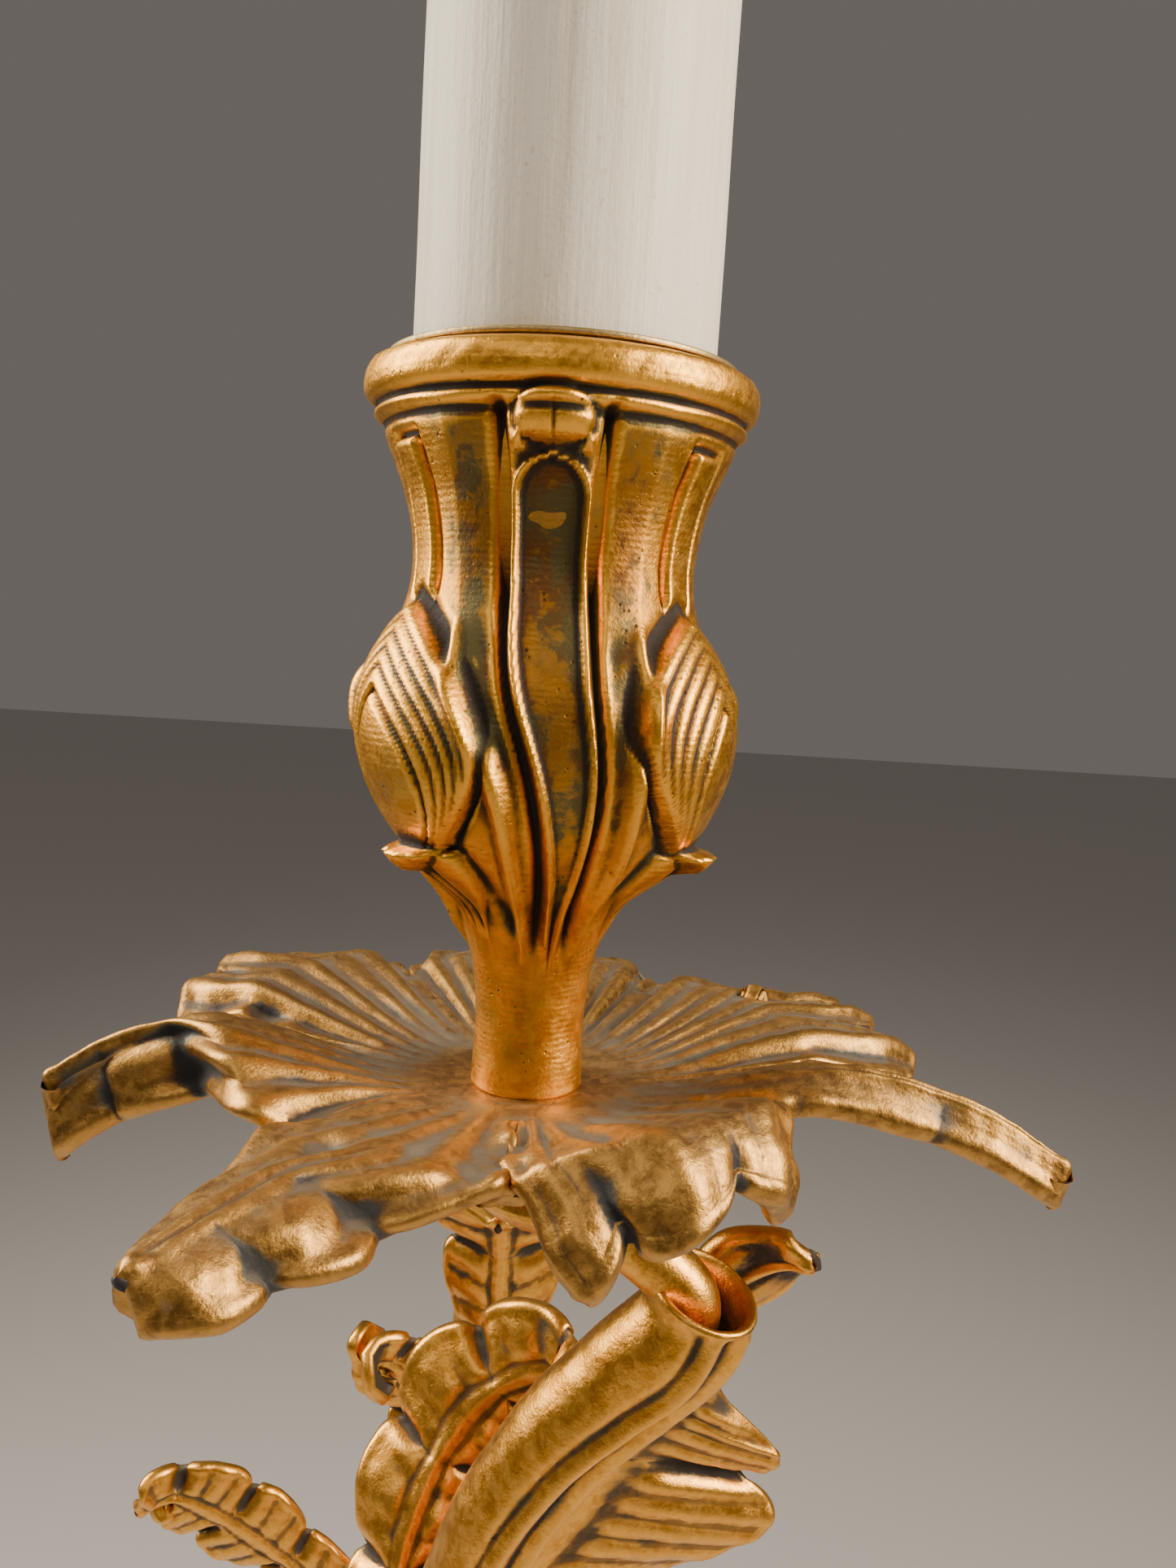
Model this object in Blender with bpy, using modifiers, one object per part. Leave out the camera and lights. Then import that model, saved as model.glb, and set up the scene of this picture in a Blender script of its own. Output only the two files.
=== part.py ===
"""Gilt-bronze wall sconce for one candle, in the rococo manner.

Frame: metres, +Z up, the wall behind at +Y. The origin is on the flat back of the wall plate, where it meets the wall.
A cast branch springs from the plate, sweeps down and forward and rises to a moulded seat. A leaf-shaped drip pan lies
on the seat, and a vase-shaped nozzle is screwed down on the pan by the stud that holds all three together.
"""

import math

import bmesh
import bpy
import numpy as np
from mathutils import Matrix, Vector

MM = 0.001
GAP = 0.0003  # between pieces that touch

# Where the candle stands, from the origin on the wall
CANDLE_X = 0.006
CANDLE_Y = -0.105
PAN_Z = 0.155

# Candle, a household size with a tapered end that fits any socket
CANDLE_R = 0.012
CANDLE_LENGTH = 0.170
CANDLE_END_R = 0.0078
CANDLE_END_LENGTH = 0.020
SHOULDER = 0.003
WICK_R = 0.0009
WICK_HEIGHT = 0.011
WICK_DEPTH = 0.006

# Nozzle, seen from its foot on the pan to its rim
NOZZLE_FOOT_R = 0.0047
NOZZLE_WAIST_R = 0.0113
NOZZLE_BULB_R = 0.0141
NOZZLE_RIM_R = 0.0156
NOZZLE_HEIGHT = 0.0580
NOZZLE_WALL = 0.0015
TONGUE_ANGLES = (-90, 30, 150)  # raised tongues, one to the front
SHELL_ANGLES = (-20, 100, 220)  # shells on the bulb, between the tongues and swirled a little

# Liner, a thin cup that hangs by its flange in the nozzle
LINER_WALL = 0.0005
LINER_FLANGE_R = 0.0139
LINER_FLOOR_Z = 0.0360  # above the pan

# Threaded stud that is fixed in the nozzle's foot and screws through the pan into the seat
STUD_R = 0.0025
STUD_IN_NOZZLE = 0.008
STUD_IN_SEAT = 0.0065

# Drip pan, one casting of seven leaves round a smooth hub
PAN_THICK = 0.0018
PAN_EDGE = 0.0013
PAN_DISH = 0.0010  # how far the pan rises from its hub to its notches

# Its leaves, in millimetres: angle, half width, length, arch, droop in degrees, how soon it bends, fall of the
# sides, the notches across its end with the lengths of the lobes between them, and the scallops down its two sides
PAN_LEAVES = (
    (-3, 2.9, 48.5, 2.6, 42, 1.3, 1.2, (), (), (2, 0)),
    (31, 10.0, 40.5, 2.4, 42, 1.8, 1.2, (0.30, 0.52, 0.72), (1.0, 0.90, 0.82, 0.74), ()),
    (92, 13.0, 38.5, 2.0, 32, 1.6, 1.2, (0.22, 0.42, 0.60, 0.80), (0.76, 0.82, 0.92, 1.0, 0.92), ()),
    (145, 9.5, 40.5, 3.0, 32, 1.5, 1.6, (0.34, 0.68), (1.0, 1.0, 0.88), ()),
    (180, 2.3, 43.5, 3.4, 46, 1.1, 1.0, (), (), (0, 3)),
    (234, 7.8, 39.2, 0.8, 17, 1.3, 2.2, (), (), (1, 3)),
    (308, 10.4, 28.5, 3.4, 92, 0.6, 1.2, (0.16, 0.62), (0.72, 1.0, 0.88), ()),
)
# The notches between them, each after the leaf of the same place above: angle, distance from the axis and height
PAN_NOTCHES = ((9, 25.0, 0.6), (66, 28.0, 0.6), (118, 31.0, 0.0), (163, 28.0, 0.0), (209, 22.4, -1.4),
               (270, 18.0, -1.6), (345, 22.0, 0.4))

# Seat under the pan, an oval moulding with the branch's neck at its far end
SEAT_SHIFT = 0.0050
SEAT_HALF_LENGTH = 0.0098
SEAT_HALF_WIDTH = 0.0086
SEAT_HEIGHT = 0.0085
SEAT_TOP_Z = -PAN_THICK - 2 * GAP

# Branch
BRANCH_R = 0.0048
MOUTH_R = BRANCH_R * 0.98
NECK_R = BRANCH_R * 0.5625
NECK_SHIFT = 0.0091
NECK_IN_SEAT = 0.003
NECK_SCREW_R = 0.0010
NECK_SCREW_HEAD_R = 0.0019
ROOT_FLANGE_R = 0.0098
ROOT_FLANGE_THICK = 0.003
LEAF_PIN_R = 0.0009
LEAF_PIN_HEAD_R = 0.0017
LEAF_PIN_HEAD = 0.0009

# Wall plate, and the boss that the branch is bolted to
PLATE_THICK = 0.004
PLATE_TOP = 0.092
PLATE_BOTTOM = -0.105
BOSS_Z = 0.012
BOSS_R = 0.0150
BOSS_HEIGHT = 0.009
WALL_HOLE_R = 0.0022
WALL_HOLES_Z = (0.040, -0.052)
BOLT_R = 0.0025
BOLT_IN_BRANCH = 0.008
BOLT_NUT_ACROSS = 0.008
BOLT_NUT_THICK = 0.003
WASHER_R = 0.0055
WASHER_THICK = 0.0008
RECESS_R = 0.0062
RECESS_DEPTH = 0.0060
RIVET_R = 0.0012
RIVET_HEAD_R = 0.0023
RIVET_HEAD = 0.0011

COLOURS = {
    "gilt_bright": ((0.86, 0.55, 0.17), 0.30, 1.0),
    "gilt_worn": ((0.62, 0.40, 0.18), 0.42, 1.0),
    "gilt_dull": ((0.72, 0.46, 0.16), 0.46, 1.0),
    "raw_bronze": ((0.36, 0.24, 0.13), 0.55, 1.0),
    "liner_brass": ((0.42, 0.36, 0.20), 0.45, 1.0),
    "iron": ((0.20, 0.19, 0.18), 0.50, 1.0),
    "wax": ((0.93, 0.88, 0.78), 0.45, 0.0),
    "cotton": ((0.80, 0.77, 0.70), 0.90, 0.0),
}


def clear_scene():
    for item in list(bpy.data.objects):
        bpy.data.objects.remove(item)


def new_collection(name, hidden=False):
    made = bpy.data.collections.new(name)
    bpy.context.scene.collection.children.link(made)
    made.hide_render = hidden
    return made


def finish(name):
    """The Principled material for one of the finishes above."""
    made = bpy.data.materials.get(name)
    if made is None:
        colour, roughness, metallic = COLOURS[name]
        made = bpy.data.materials.new(name)
        made.use_nodes = True
        shader = made.node_tree.nodes["Principled BSDF"]
        shader.inputs["Base Color"].default_value = (*colour, 1.0)
        shader.inputs["Roughness"].default_value = roughness
        shader.inputs["Metallic"].default_value = metallic
    return made


def empty_at(name, place):
    made = bpy.data.objects.new(name, None)
    made.location = place
    SCONCE.objects.link(made)
    return made


def add_object(name, mesh, slot, parent=None):
    made = bpy.data.objects.new(name, mesh)
    made.data.materials.append(finish(slot))
    made.parent = parent
    SCONCE.objects.link(made)
    return made


def mesh_from(name, points, faces):
    """A mesh with doubles merged and its faces turned outward."""
    mesh = bpy.data.meshes.new(name)
    mesh.from_pydata([tuple(p) for p in points], [], faces)
    shape = bmesh.new()
    shape.from_mesh(mesh)
    bmesh.ops.remove_doubles(shape, verts=shape.verts, dist=1e-6)
    bmesh.ops.recalc_face_normals(shape, faces=shape.faces)
    if shape.calc_volume(signed=True) < 0:
        bmesh.ops.reverse_faces(shape, faces=shape.faces)
    shape.to_mesh(mesh)
    shape.free()
    mesh.shade_smooth()
    return mesh


def between(stops, x):
    """The value at x on a smooth line through (x, value) stops."""
    if x <= stops[0][0]:
        return stops[0][1]
    for (x0, v0), (x1, v1) in zip(stops, stops[1:]):
        if x <= x1:
            k = (x - x0) / (x1 - x0)
            return v0 + (v1 - v0) * k * k * (3 - 2 * k)
    return stops[-1][1]


def catmull(points, t):
    """The point at t, from 0 to 1, on a smooth curve through the points."""
    last = len(points) - 1
    at = min(max(t, 0.0), 1.0) * last
    i = min(int(at), last - 1)
    k = at - i
    p1, p2 = points[i], points[i + 1]
    p0 = points[i - 1] if i > 0 else p1 * 2 - p2
    p3 = points[i + 2] if i + 2 <= last else p2 * 2 - p1
    return (
        p1 * 2
        + (p2 - p0) * k
        + (p0 * 2 - p1 * 5 + p2 * 4 - p3) * k * k
        + (p1 * 3 - p0 - p2 * 3 + p3) * k * k * k
    ) * 0.5


def loft(name, rings, closed=False):
    """A skin over rings of equal count. It is capped at both ends, or joined end to end when closed."""
    count = len(rings[0])
    points = [p for ring in rings for p in ring]
    faces = []
    spans = len(rings) if closed else len(rings) - 1
    for r in range(spans):
        a, b = r * count, (r + 1) % len(rings) * count
        for i in range(count):
            j = (i + 1) % count
            faces.append((a + i, a + j, b + j, b + i))
    if not closed:
        faces.append(tuple(range(count)))
        faces.append(tuple(range((len(rings) - 1) * count, len(rings) * count)))
    return mesh_from(name, points, faces)


def turned(name, profile, slot, parent=None, steps=32):
    """A solid turned about its Z axis, from (radius, height) points that run down the outer side, top to bottom."""
    mesh = bpy.data.meshes.new(name)
    edges = [(i, i + 1) for i in range(len(profile) - 1)]
    mesh.from_pydata([(r, 0.0, z) for r, z in profile], edges, [])
    made = add_object(name, mesh, slot, parent)
    screw = made.modifiers.new("Turn", "SCREW")
    screw.axis = "Z"
    screw.steps = steps
    screw.render_steps = steps
    screw.use_merge_vertices = True
    screw.merge_threshold = 0.00001
    screw.use_smooth_shade = True
    return made


def sheet_shell(name, sheets, thickness, edge):
    """A closed shell under one or more grids of points, welded where they meet, thinner along its free edges."""
    places, points, quads = {}, [], []
    for grid in sheets:
        known = []
        for row in grid:
            known.append([])
            for point in row:
                key = tuple(round(c / 1e-6) for c in point)
                if key not in places:
                    places[key] = len(points)
                    points.append(point)
                known[-1].append(places[key])
        for below, above in zip(known, known[1:]):
            for i in range(len(below) - 1):
                quads.append((below[i], below[i + 1], above[i + 1], above[i]))
    shape = bmesh.new()
    verts = [shape.verts.new(p) for p in points]
    for quad in quads:
        shape.faces.new([verts[i] for i in quad])
    shape.normal_update()
    shape.verts.index_update()
    back = [v.co - v.normal * (edge if v.is_boundary else thickness) for v in verts]
    count = len(points)
    faces = quads + [tuple(count + i for i in reversed(quad)) for quad in quads]
    for line in shape.edges:
        if line.is_boundary:
            loop = line.link_loops[0]
            a, b = loop.vert.index, loop.link_loop_next.vert.index
            faces.append((b, a, count + a, count + b))
    shape.free()
    return mesh_from(name, points + back, faces)


def lobed(t, lobes, depth):
    """The share of full width at t: rounded lobes with a sharp notch between each two."""
    v = t * lobes % 1.0
    return 1 - depth * (1 - math.sqrt(max(math.sin(math.pi * v), 0.0)))


LEAF_WIDTHS = ((0.0, 0.34), (0.25, 0.72), (0.6, 1.0), (0.85, 0.72), (1.0, 0.16))


def leaf_grid(spine, side, half_width, lobes, notch, crown, flute, sweep, rows, columns, first=1.0):
    """Points of an acanthus leaf.

    The spine is its midrib from base to tip. Side points across the leaf, and first is the share of the half width
    on that side. The edges are swept towards the tip, and each lobe is puffed up between its notches.
    """
    grid = []
    for j in range(rows):
        t = j / (rows - 1)
        here = catmull(spine, t)
        along = (catmull(spine, t + 0.02) - catmull(spine, t - 0.02)).normalized()
        across = (side - along * side.dot(along)).normalized()
        up = along.cross(across).normalized()
        reach = half_width * between(LEAF_WIDTHS, t) * lobed(t, lobes, notch)
        puff = math.sin(math.pi * (t * lobes % 1.0)) - 0.5
        row = []
        for i in range(columns):
            u = 1 - 2 * i / (columns - 1)
            lift = crown * half_width * (0.5 - u * u) + flute * puff * abs(u)
            point = here + across * (u * reach * (first if u > 0 else 1.0)) + along * (sweep * reach * abs(u) * min(1.0, 4 * t) * (1 - t))
            row.append(point + up * lift)
        grid.append(row)
    return grid


def leaf(name, spine, side, half_width, slot, parent=None, thickness=0.0018, lobes=4, notch=0.3, crown=0.25,
         flute=0.0006, sweep=0.5, first=1.0, rows=15, columns=5):
    spine = [Vector(p) * MM for p in spine]
    grid = leaf_grid(spine, Vector(side).normalized(), half_width, lobes, notch, crown, flute, sweep,
                     rows, columns, first)
    return add_object(name, sheet_shell(name, [grid], thickness, thickness * 0.55), slot, parent)


def cut(target, *cutters):
    for cutter in cutters:
        modifier = target.modifiers.new("Cut", "BOOLEAN")
        modifier.object = cutter
        modifier.operation = "DIFFERENCE"
        modifier.solver = "EXACT"


def rod_cutter(name, radius, start, end, sides=16, turned=0.0):
    """A cylinder from start to end that cuts and isn't shown, turned about its axis by a share of one side."""
    start, end = Vector(start), Vector(end)
    axis = end - start
    mesh = bpy.data.meshes.new(name)
    shape = bmesh.new()
    turn = axis.to_track_quat("Z", "Y").to_matrix().to_4x4() @ Matrix.Rotation(2 * math.pi / sides * turned, 4, "Z")
    bmesh.ops.create_cone(shape, cap_ends=True, segments=sides, radius1=radius, radius2=radius, depth=axis.length,
                          matrix=Matrix.Translation((start + end) / 2) @ turn)
    shape.to_mesh(mesh)
    shape.free()
    made = bpy.data.objects.new(name, mesh)
    made.hide_render = True
    made.display_type = "WIRE"
    CUTTERS.objects.link(made)
    return made


# ---------------------------------------------------------------- nozzle, liner and candle


def nozzle_radius(z):
    """The vase's outer radius at a height above the pan, without its ornament."""
    stops = (
        (0.0, NOZZLE_FOOT_R),
        (0.157, NOZZLE_FOOT_R),
        (0.248, NOZZLE_FOOT_R + 0.0014),
        (0.306, NOZZLE_BULB_R * 0.58),
        (0.405, NOZZLE_BULB_R * 0.84),
        (0.562, NOZZLE_BULB_R),
        (0.636, NOZZLE_BULB_R * 0.93),
        (0.727, NOZZLE_WAIST_R),
        (0.810, NOZZLE_WAIST_R + 0.0004),
        (0.926, NOZZLE_RIM_R * 0.90),
        (1.0, NOZZLE_RIM_R * 0.93),
    )
    return between(stops, z / NOZZLE_HEIGHT)


def off_angle(angle, centre):
    """Degrees from centre to angle, from -180 to 180."""
    return (angle - centre + 180) % 360 - 180


def nozzle_relief(angle, z):
    """How far the tongues and shells stand out of the vase at an angle in degrees."""
    relief = 0.0
    level = z / NOZZLE_HEIGHT
    for centre in TONGUE_ANGLES:
        off = abs(off_angle(angle, centre))
        half = between(((0.20, 9), (0.28, 13), (0.40, 11), (0.51, 10), (0.63, 11.5), (0.93, 12.5)), level)
        if off < half + 6 and 0.165 < level < 0.934:
            ridge = math.exp(-(((off - half) / 4.0) ** 2))
            hood = between(((0.85, 0.0), (0.90, 1.0), (0.93, 0.7)), level) * (off < half)
            relief += 0.0007 * ridge + 0.0014 * hood
    for centre in SHELL_ANGLES:
        off = abs(off_angle(angle, centre))
        spread = between(((0.281, 12), (0.364, 24), (0.562, 36), (0.678, 20)), level)
        if off < spread and 0.273 < level < 0.686:
            swell = math.cos(math.pi / 2 * off / spread) ** 0.5
            rise = between(((0.273, 0.3), (0.331, 1.0), (0.595, 1.0), (0.686, 0.0)), level)
            relief += 0.0016 * swell * rise
    return relief


def ring(radius_at, z, count):
    """A ring of points about Z whose radius may change with the angle in degrees."""
    made = []
    for i in range(count):
        degrees = 360 * i / count
        a = math.radians(degrees)
        r = radius_at(degrees)
        made.append(Vector((r * math.cos(a), r * math.sin(a), z)))
    return made


def liner_outer_radius(z):
    """The liner's outside, a cone from its floor to its mouth."""
    top = NOZZLE_HEIGHT + GAP
    return between_straight(
        LINER_FLOOR_Z, CANDLE_END_R + GAP + LINER_WALL,
        top, CANDLE_R + GAP + LINER_WALL, z)


def between_straight(x0, v0, x1, v1, x):
    k = min(max((x - x0) / (x1 - x0), 0.0), 1.0)
    return v0 + (v1 - v0) * k


def make_nozzle(parent):
    """The vase, hollow for the liner, with a bore in its foot for the stud."""
    count = 48
    rim_groove = NOZZLE_HEIGHT - 0.0042
    levels = [0.0, 0.066, 0.132, 0.182, 0.231, 0.273, 0.314, 0.355, 0.397, 0.446, 0.496, 0.545, 0.587, 0.628,
              0.669, 0.719, 0.785, 0.835, 0.876, 0.905]
    rings = [
        ring(lambda a, z=z: nozzle_radius(z) + nozzle_relief(a, z), z, count)
        for z in (level * NOZZLE_HEIGHT for level in levels)
    ]
    for lift, radius in ((0.0, 0.93), (0.0006, 0.96), (0.0012, 0.96), (0.0018, 0.99), (0.0030, 1.0), (0.0042, 0.94)):
        rings.append(ring(lambda a, r=radius: NOZZLE_RIM_R * r, rim_groove + lift, count))
    for z in (NOZZLE_HEIGHT, LINER_FLOOR_Z - LINER_WALL - GAP):
        inner = liner_outer_radius(z) + GAP
        rings.append(ring(lambda a, r=inner: r, z, count))
    bore = STUD_R + GAP
    bore_top = STUD_IN_NOZZLE + GAP
    rings.append(ring(lambda a: bore, bore_top, count))
    rings.append(ring(lambda a: bore, 0.0, count))
    return add_object("nozzle", loft("nozzle", rings, closed=True), "gilt_bright", parent)


def make_liner(parent):
    """A thin conical cup, hung by a flange on the nozzle's rim."""
    under_flange = NOZZLE_HEIGHT + GAP
    top = under_flange + LINER_WALL
    floor = LINER_FLOOR_Z
    outside = liner_outer_radius(under_flange)
    profile = [
        (0.0, floor),
        (CANDLE_END_R + GAP, floor),
        (outside - LINER_WALL, top),
        (LINER_FLANGE_R, top),
        (LINER_FLANGE_R, under_flange),
        (outside, under_flange),
        (liner_outer_radius(floor), floor - LINER_WALL),
        (0.0, floor - LINER_WALL),
    ]
    return turned("liner", profile, "liner_brass", parent, steps=40)


def make_candle(parent):
    """The candle with its tapered end standing on the liner's floor, and a wick let into its top."""
    bottom = LINER_FLOOR_Z + GAP
    top = bottom + CANDLE_LENGTH
    taper_top = NOZZLE_HEIGHT + LINER_WALL + GAP + 0.001
    profile = [
        (0.0, top - WICK_DEPTH),
        (WICK_R + GAP, top - WICK_DEPTH),
        (WICK_R + GAP, top - 0.0004),
        (CANDLE_R * 0.45, top - 0.0003),
        (CANDLE_R * 0.82, top - SHOULDER * 0.35),
        (CANDLE_R * 0.96, top - SHOULDER * 0.8),
        (CANDLE_R, top - SHOULDER * 1.6),
        (CANDLE_R, taper_top),
        (CANDLE_END_R, bottom + 0.0005),
        (CANDLE_END_R - 0.0005, bottom),
        (0.0, bottom),
    ]
    turned("candle", profile, "wax", parent, steps=40)
    wick_top = top + WICK_HEIGHT
    wick = [
        (0.0, wick_top),
        (WICK_R * 0.7, wick_top),
        (WICK_R, wick_top - 0.001),
        (WICK_R, top - WICK_DEPTH + GAP),
        (0.0, top - WICK_DEPTH + GAP),
    ]
    turned("wick", wick, "cotton", parent, steps=10)


# ---------------------------------------------------------------- drip pan, seat and stud


def heading(angle):
    """The level direction at an angle in degrees."""
    return Vector((math.cos(math.radians(angle)), math.sin(math.radians(angle)), 0))


def smooth_stops(stops, x):
    """Values at x on a smooth line through (x, value) stops, level at each stop."""
    result = np.full(np.shape(x), float(stops[0][1]))
    for (x0, v0), (x1, v1) in zip(stops, stops[1:]):
        k = np.clip((x - x0) / (x1 - x0), 0, 1)
        result = result + (v1 - v0) * k * k * (3 - 2 * k)
    return result


def level_heading(angle):
    """The level direction at an angle in degrees, for one angle or an array of them."""
    angle = np.radians(np.asarray(angle, float))
    return np.stack([np.cos(angle), np.sin(angle), np.zeros_like(angle)], axis=-1)


def lobe_number(k, notches):
    """How many lobes lie before k, in parts of a lobe, with notches at the given places from 0 to 1."""
    places = (0.0,) + notches + (1.0,)
    return np.interp(k, places, np.arange(len(places)))


def pan_leaf_grid(place, us, ss):
    """Points of one leaf's upper face in millimetres from the hub; u across from -1 to 1, s 0 to 1 to 2."""
    angle, half_width, reach, arch, droop, soon, fall, notches, ends, sides = PAN_LEAVES[place]
    before, after = PAN_NOTCHES[place - 1], PAN_NOTCHES[place]
    first = angle + (before[0] - angle + 180) % 360 - 180
    last = angle + (after[0] - angle + 180) % 360 - 180
    u, s = np.meshgrid(us, ss)
    bore = (STUD_R + GAP) / 0.001
    k, t = (u + 1) / 2, np.maximum(s - 1.0, 0.0)
    end = before[1] * (1 - k) + after[1] * k
    axis, side = level_heading(angle), level_heading(angle + 90)
    radial = level_heading(first * (1 - k) + last * k)
    r = bore + (end - bore) * np.minimum(s, 1.0)
    flat = radial * r[..., None]
    plateau = 1 - u ** 4 if notches else 1 - u * u
    lift = PAN_DISH / 0.001 * (r / 30) ** 2 + arch * plateau * smooth_stops(((0.35, 0.0), (1.1, 1.0)), s)
    lift = lift + (before[2] * (1 - k) ** 3 + after[2] * k ** 3) * smooth_stops(((0.4, 0.0), (1.0, 1.0)), s)
    rim = radial * end[..., None]
    start, start_across = rim @ axis, rim @ side
    settle = smooth_stops(((0.0, 0.0), (0.45 if notches else 0.32, 1.0)), t)
    if notches:
        shape = smooth_stops(((0.0, 1.0), (0.5, 1.04), (1.0, 0.86)), t)
        number = lobe_number(k, notches)
        which = np.clip(number.astype(int), 0, len(ends) - 1)
        arc = np.maximum(np.sin(math.pi * (number - which)), 0) ** 0.38
        low = [min(pair) * 0.68 for pair in zip(ends[:1] + ends, ends + ends[-1:])]
        root = np.interp(number, np.arange(len(low)), low)
        length = root + (np.array(ends)[which] - root) * arc
    else:
        taper = smooth_stops(((0.0, 1.0), (0.4, 0.97), (0.85, 0.66), (1.0, 0.50)), t)
        count = np.where(u < 0, sides[0], sides[1])
        scallops = 1 - 0.24 * (1 - np.sqrt(np.abs(np.sin(math.pi * t * count)))) * (count > 0) * (t < 0.97)
        shape = taper * scallops * np.sqrt(np.clip(1 - ((t - 0.78) / 0.22).clip(0, 1) ** 2, 0.02, 1))
        length = 1 - 0.03 * u * u
    travel = t * (reach - start) * length
    across = start_across * (1 - settle) + u * half_width * shape * settle
    out, up, steps = start.copy(), np.zeros(u.shape), 14
    for i in range(steps):
        bent = np.clip(((i + 0.5) / steps) * travel / (reach - start), 0, 1)
        slope = -np.radians(droop) * bent ** soon
        out = out + np.cos(slope) * travel / steps
        up = up + np.sin(slope) * travel / steps
    up = up - fall * u * u * smooth_stops(((0.0, 0.0), (0.4, 1.0)), t)
    blade = axis * out[..., None] + side * across[..., None]
    points = np.where((s > 1.0)[..., None], blade, flat)
    points[..., 2] = lift + np.where(s > 1.0, up, 0.0)
    return points


def make_pan(parent):
    """The leaf pan, a closed shell with a bore for the stud."""
    columns, hub_rows, blade_rows = 11, 4, 8
    us = np.linspace(1, -1, columns)
    ss = np.concatenate([np.linspace(0, 1, hub_rows + 1), 1 + np.linspace(0, 1, blade_rows + 1)[1:]])
    sheets = []
    for place in range(len(PAN_LEAVES)):
        grid = pan_leaf_grid(place, us, ss) * 0.001
        sheets.append([[Vector(point) for point in row] for row in grid.tolist()])
    return add_object("drip_pan", sheet_shell("drip_pan", sheets, PAN_THICK, PAN_EDGE), "gilt_worn", parent)


def make_seat(parent):
    """The oval moulding that carries the pan, bored for the stud and for the screw into the branch's neck."""
    profile = (
        (0.0, 0.80), (0.0006, 0.87), (0.0016, 0.86), (0.0034, 0.79), (0.0048, 0.86), (0.0053, 0.99), (0.0066, 0.98),
        (0.0077, 0.86), (SEAT_HEIGHT, 0.66),
    )
    count = 40
    rings = []
    for drop, share in profile:
        z = SEAT_TOP_Z - drop
        points = []
        for i in range(count):
            a = 2 * math.pi * i / count
            points.append(Vector((
                SEAT_SHIFT + SEAT_HALF_LENGTH * share * math.cos(a), SEAT_HALF_WIDTH * share * math.sin(a), z)))
        rings.append(points)
    made = add_object("pan_seat", loft("pan_seat", rings), "gilt_dull", parent)
    bottom = SEAT_TOP_Z - SEAT_HEIGHT
    sink = NECK_SCREW_HEAD_R - NECK_SCREW_R + 2 * GAP
    cutters = (
        rod_cutter("stud_hole", STUD_R + GAP, (0, 0, SEAT_TOP_Z - STUD_IN_SEAT - GAP), (0, 0, 0.005)),
        rod_cutter("neck_socket", NECK_R + GAP, (NECK_SHIFT, 0, bottom - 0.01), (NECK_SHIFT, 0, bottom + NECK_IN_SEAT)),
        rod_cutter("screw_hole", NECK_SCREW_R + GAP, (NECK_SHIFT, 0, bottom - 0.01), (NECK_SHIFT, 0, 0.005)),
        rod_cutter("head_sink", NECK_SCREW_HEAD_R + GAP, (NECK_SHIFT, 0, SEAT_TOP_Z - GAP - 2 * sink),
                   (NECK_SHIFT, 0, 0.005)),
    )
    for cutter in cutters:
        cutter.parent = parent
    cut(made, *cutters)
    head_top = SEAT_TOP_Z - GAP
    shank_end = bottom - 0.001
    screw = [(0.0, head_top), (NECK_SCREW_HEAD_R, head_top), (NECK_SCREW_HEAD_R, head_top - sink),
             (NECK_SCREW_R, head_top - sink), (NECK_SCREW_R, shank_end), (0.0, shank_end)]
    fixed = turned("neck_screw", screw, "iron", parent, steps=12)
    fixed.location = (NECK_SHIFT, 0, 0)


def make_nozzle_stud(parent):
    """The screwed stud, from the nozzle's foot down through the pan into the seat."""
    high = STUD_IN_NOZZLE
    low = SEAT_TOP_Z - GAP - STUD_IN_SEAT
    profile = [(0.0, high), (STUD_R * 0.8, high), (STUD_R, high - 0.0006), (STUD_R, low + 0.0006),
               (STUD_R * 0.8, low), (0.0, low)]
    turned("nozzle_stud", profile, "iron", parent, steps=16)


def hexagon(name, across, low, high, slot, parent, bore):
    """A nut with a plain bore, its faces across the flats."""
    corner = across / math.sqrt(3)
    rings = []
    for radius, z in ((bore, high), (corner, high), (corner, low), (bore, low)):
        rings.append([
            Vector((radius * math.cos(math.radians(15 * i)) * flat_share(i, radius, bore),
                    radius * math.sin(math.radians(15 * i)) * flat_share(i, radius, bore), z))
            for i in range(24)])
    return add_object(name, loft(name, rings, closed=True), slot, parent)


def flat_share(i, radius, bore):
    """Draws a corner radius in to the flat of a hexagon; a bore stays round."""
    if radius <= bore:
        return 1.0
    off = (15 * i) % 60 - 30
    return math.cos(math.radians(30)) / math.cos(math.radians(off))


# ---------------------------------------------------------------- branch

# Midline of the branch from the boss to its mouth, in millimetres from the candle's axis at the pan
BRANCH_LINE = (
    (-6, 80, -150), (-6, 66, -163), (-6.5, 46, -168), (-7, 29, -155), (-8, 17, -128), (-8, 12, -96), (-6.5, 9, -70),
    (-2, 7, -50), (4, 5, -37), (10.7, 3, -28), (15.0, 1, -22.2), (16.6, 0, -18.0))
BRANCH_GIRTHS = ((0.0, 0.95), (0.1, 0.9), (0.3, 1.05), (0.5, 0.88), (0.7, 0.95), (0.87, 1.05), (1.0, 0.95))
BRANCH_TWIST = ((0.0, -18), (0.6, -8), (1.0, 4))


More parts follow.
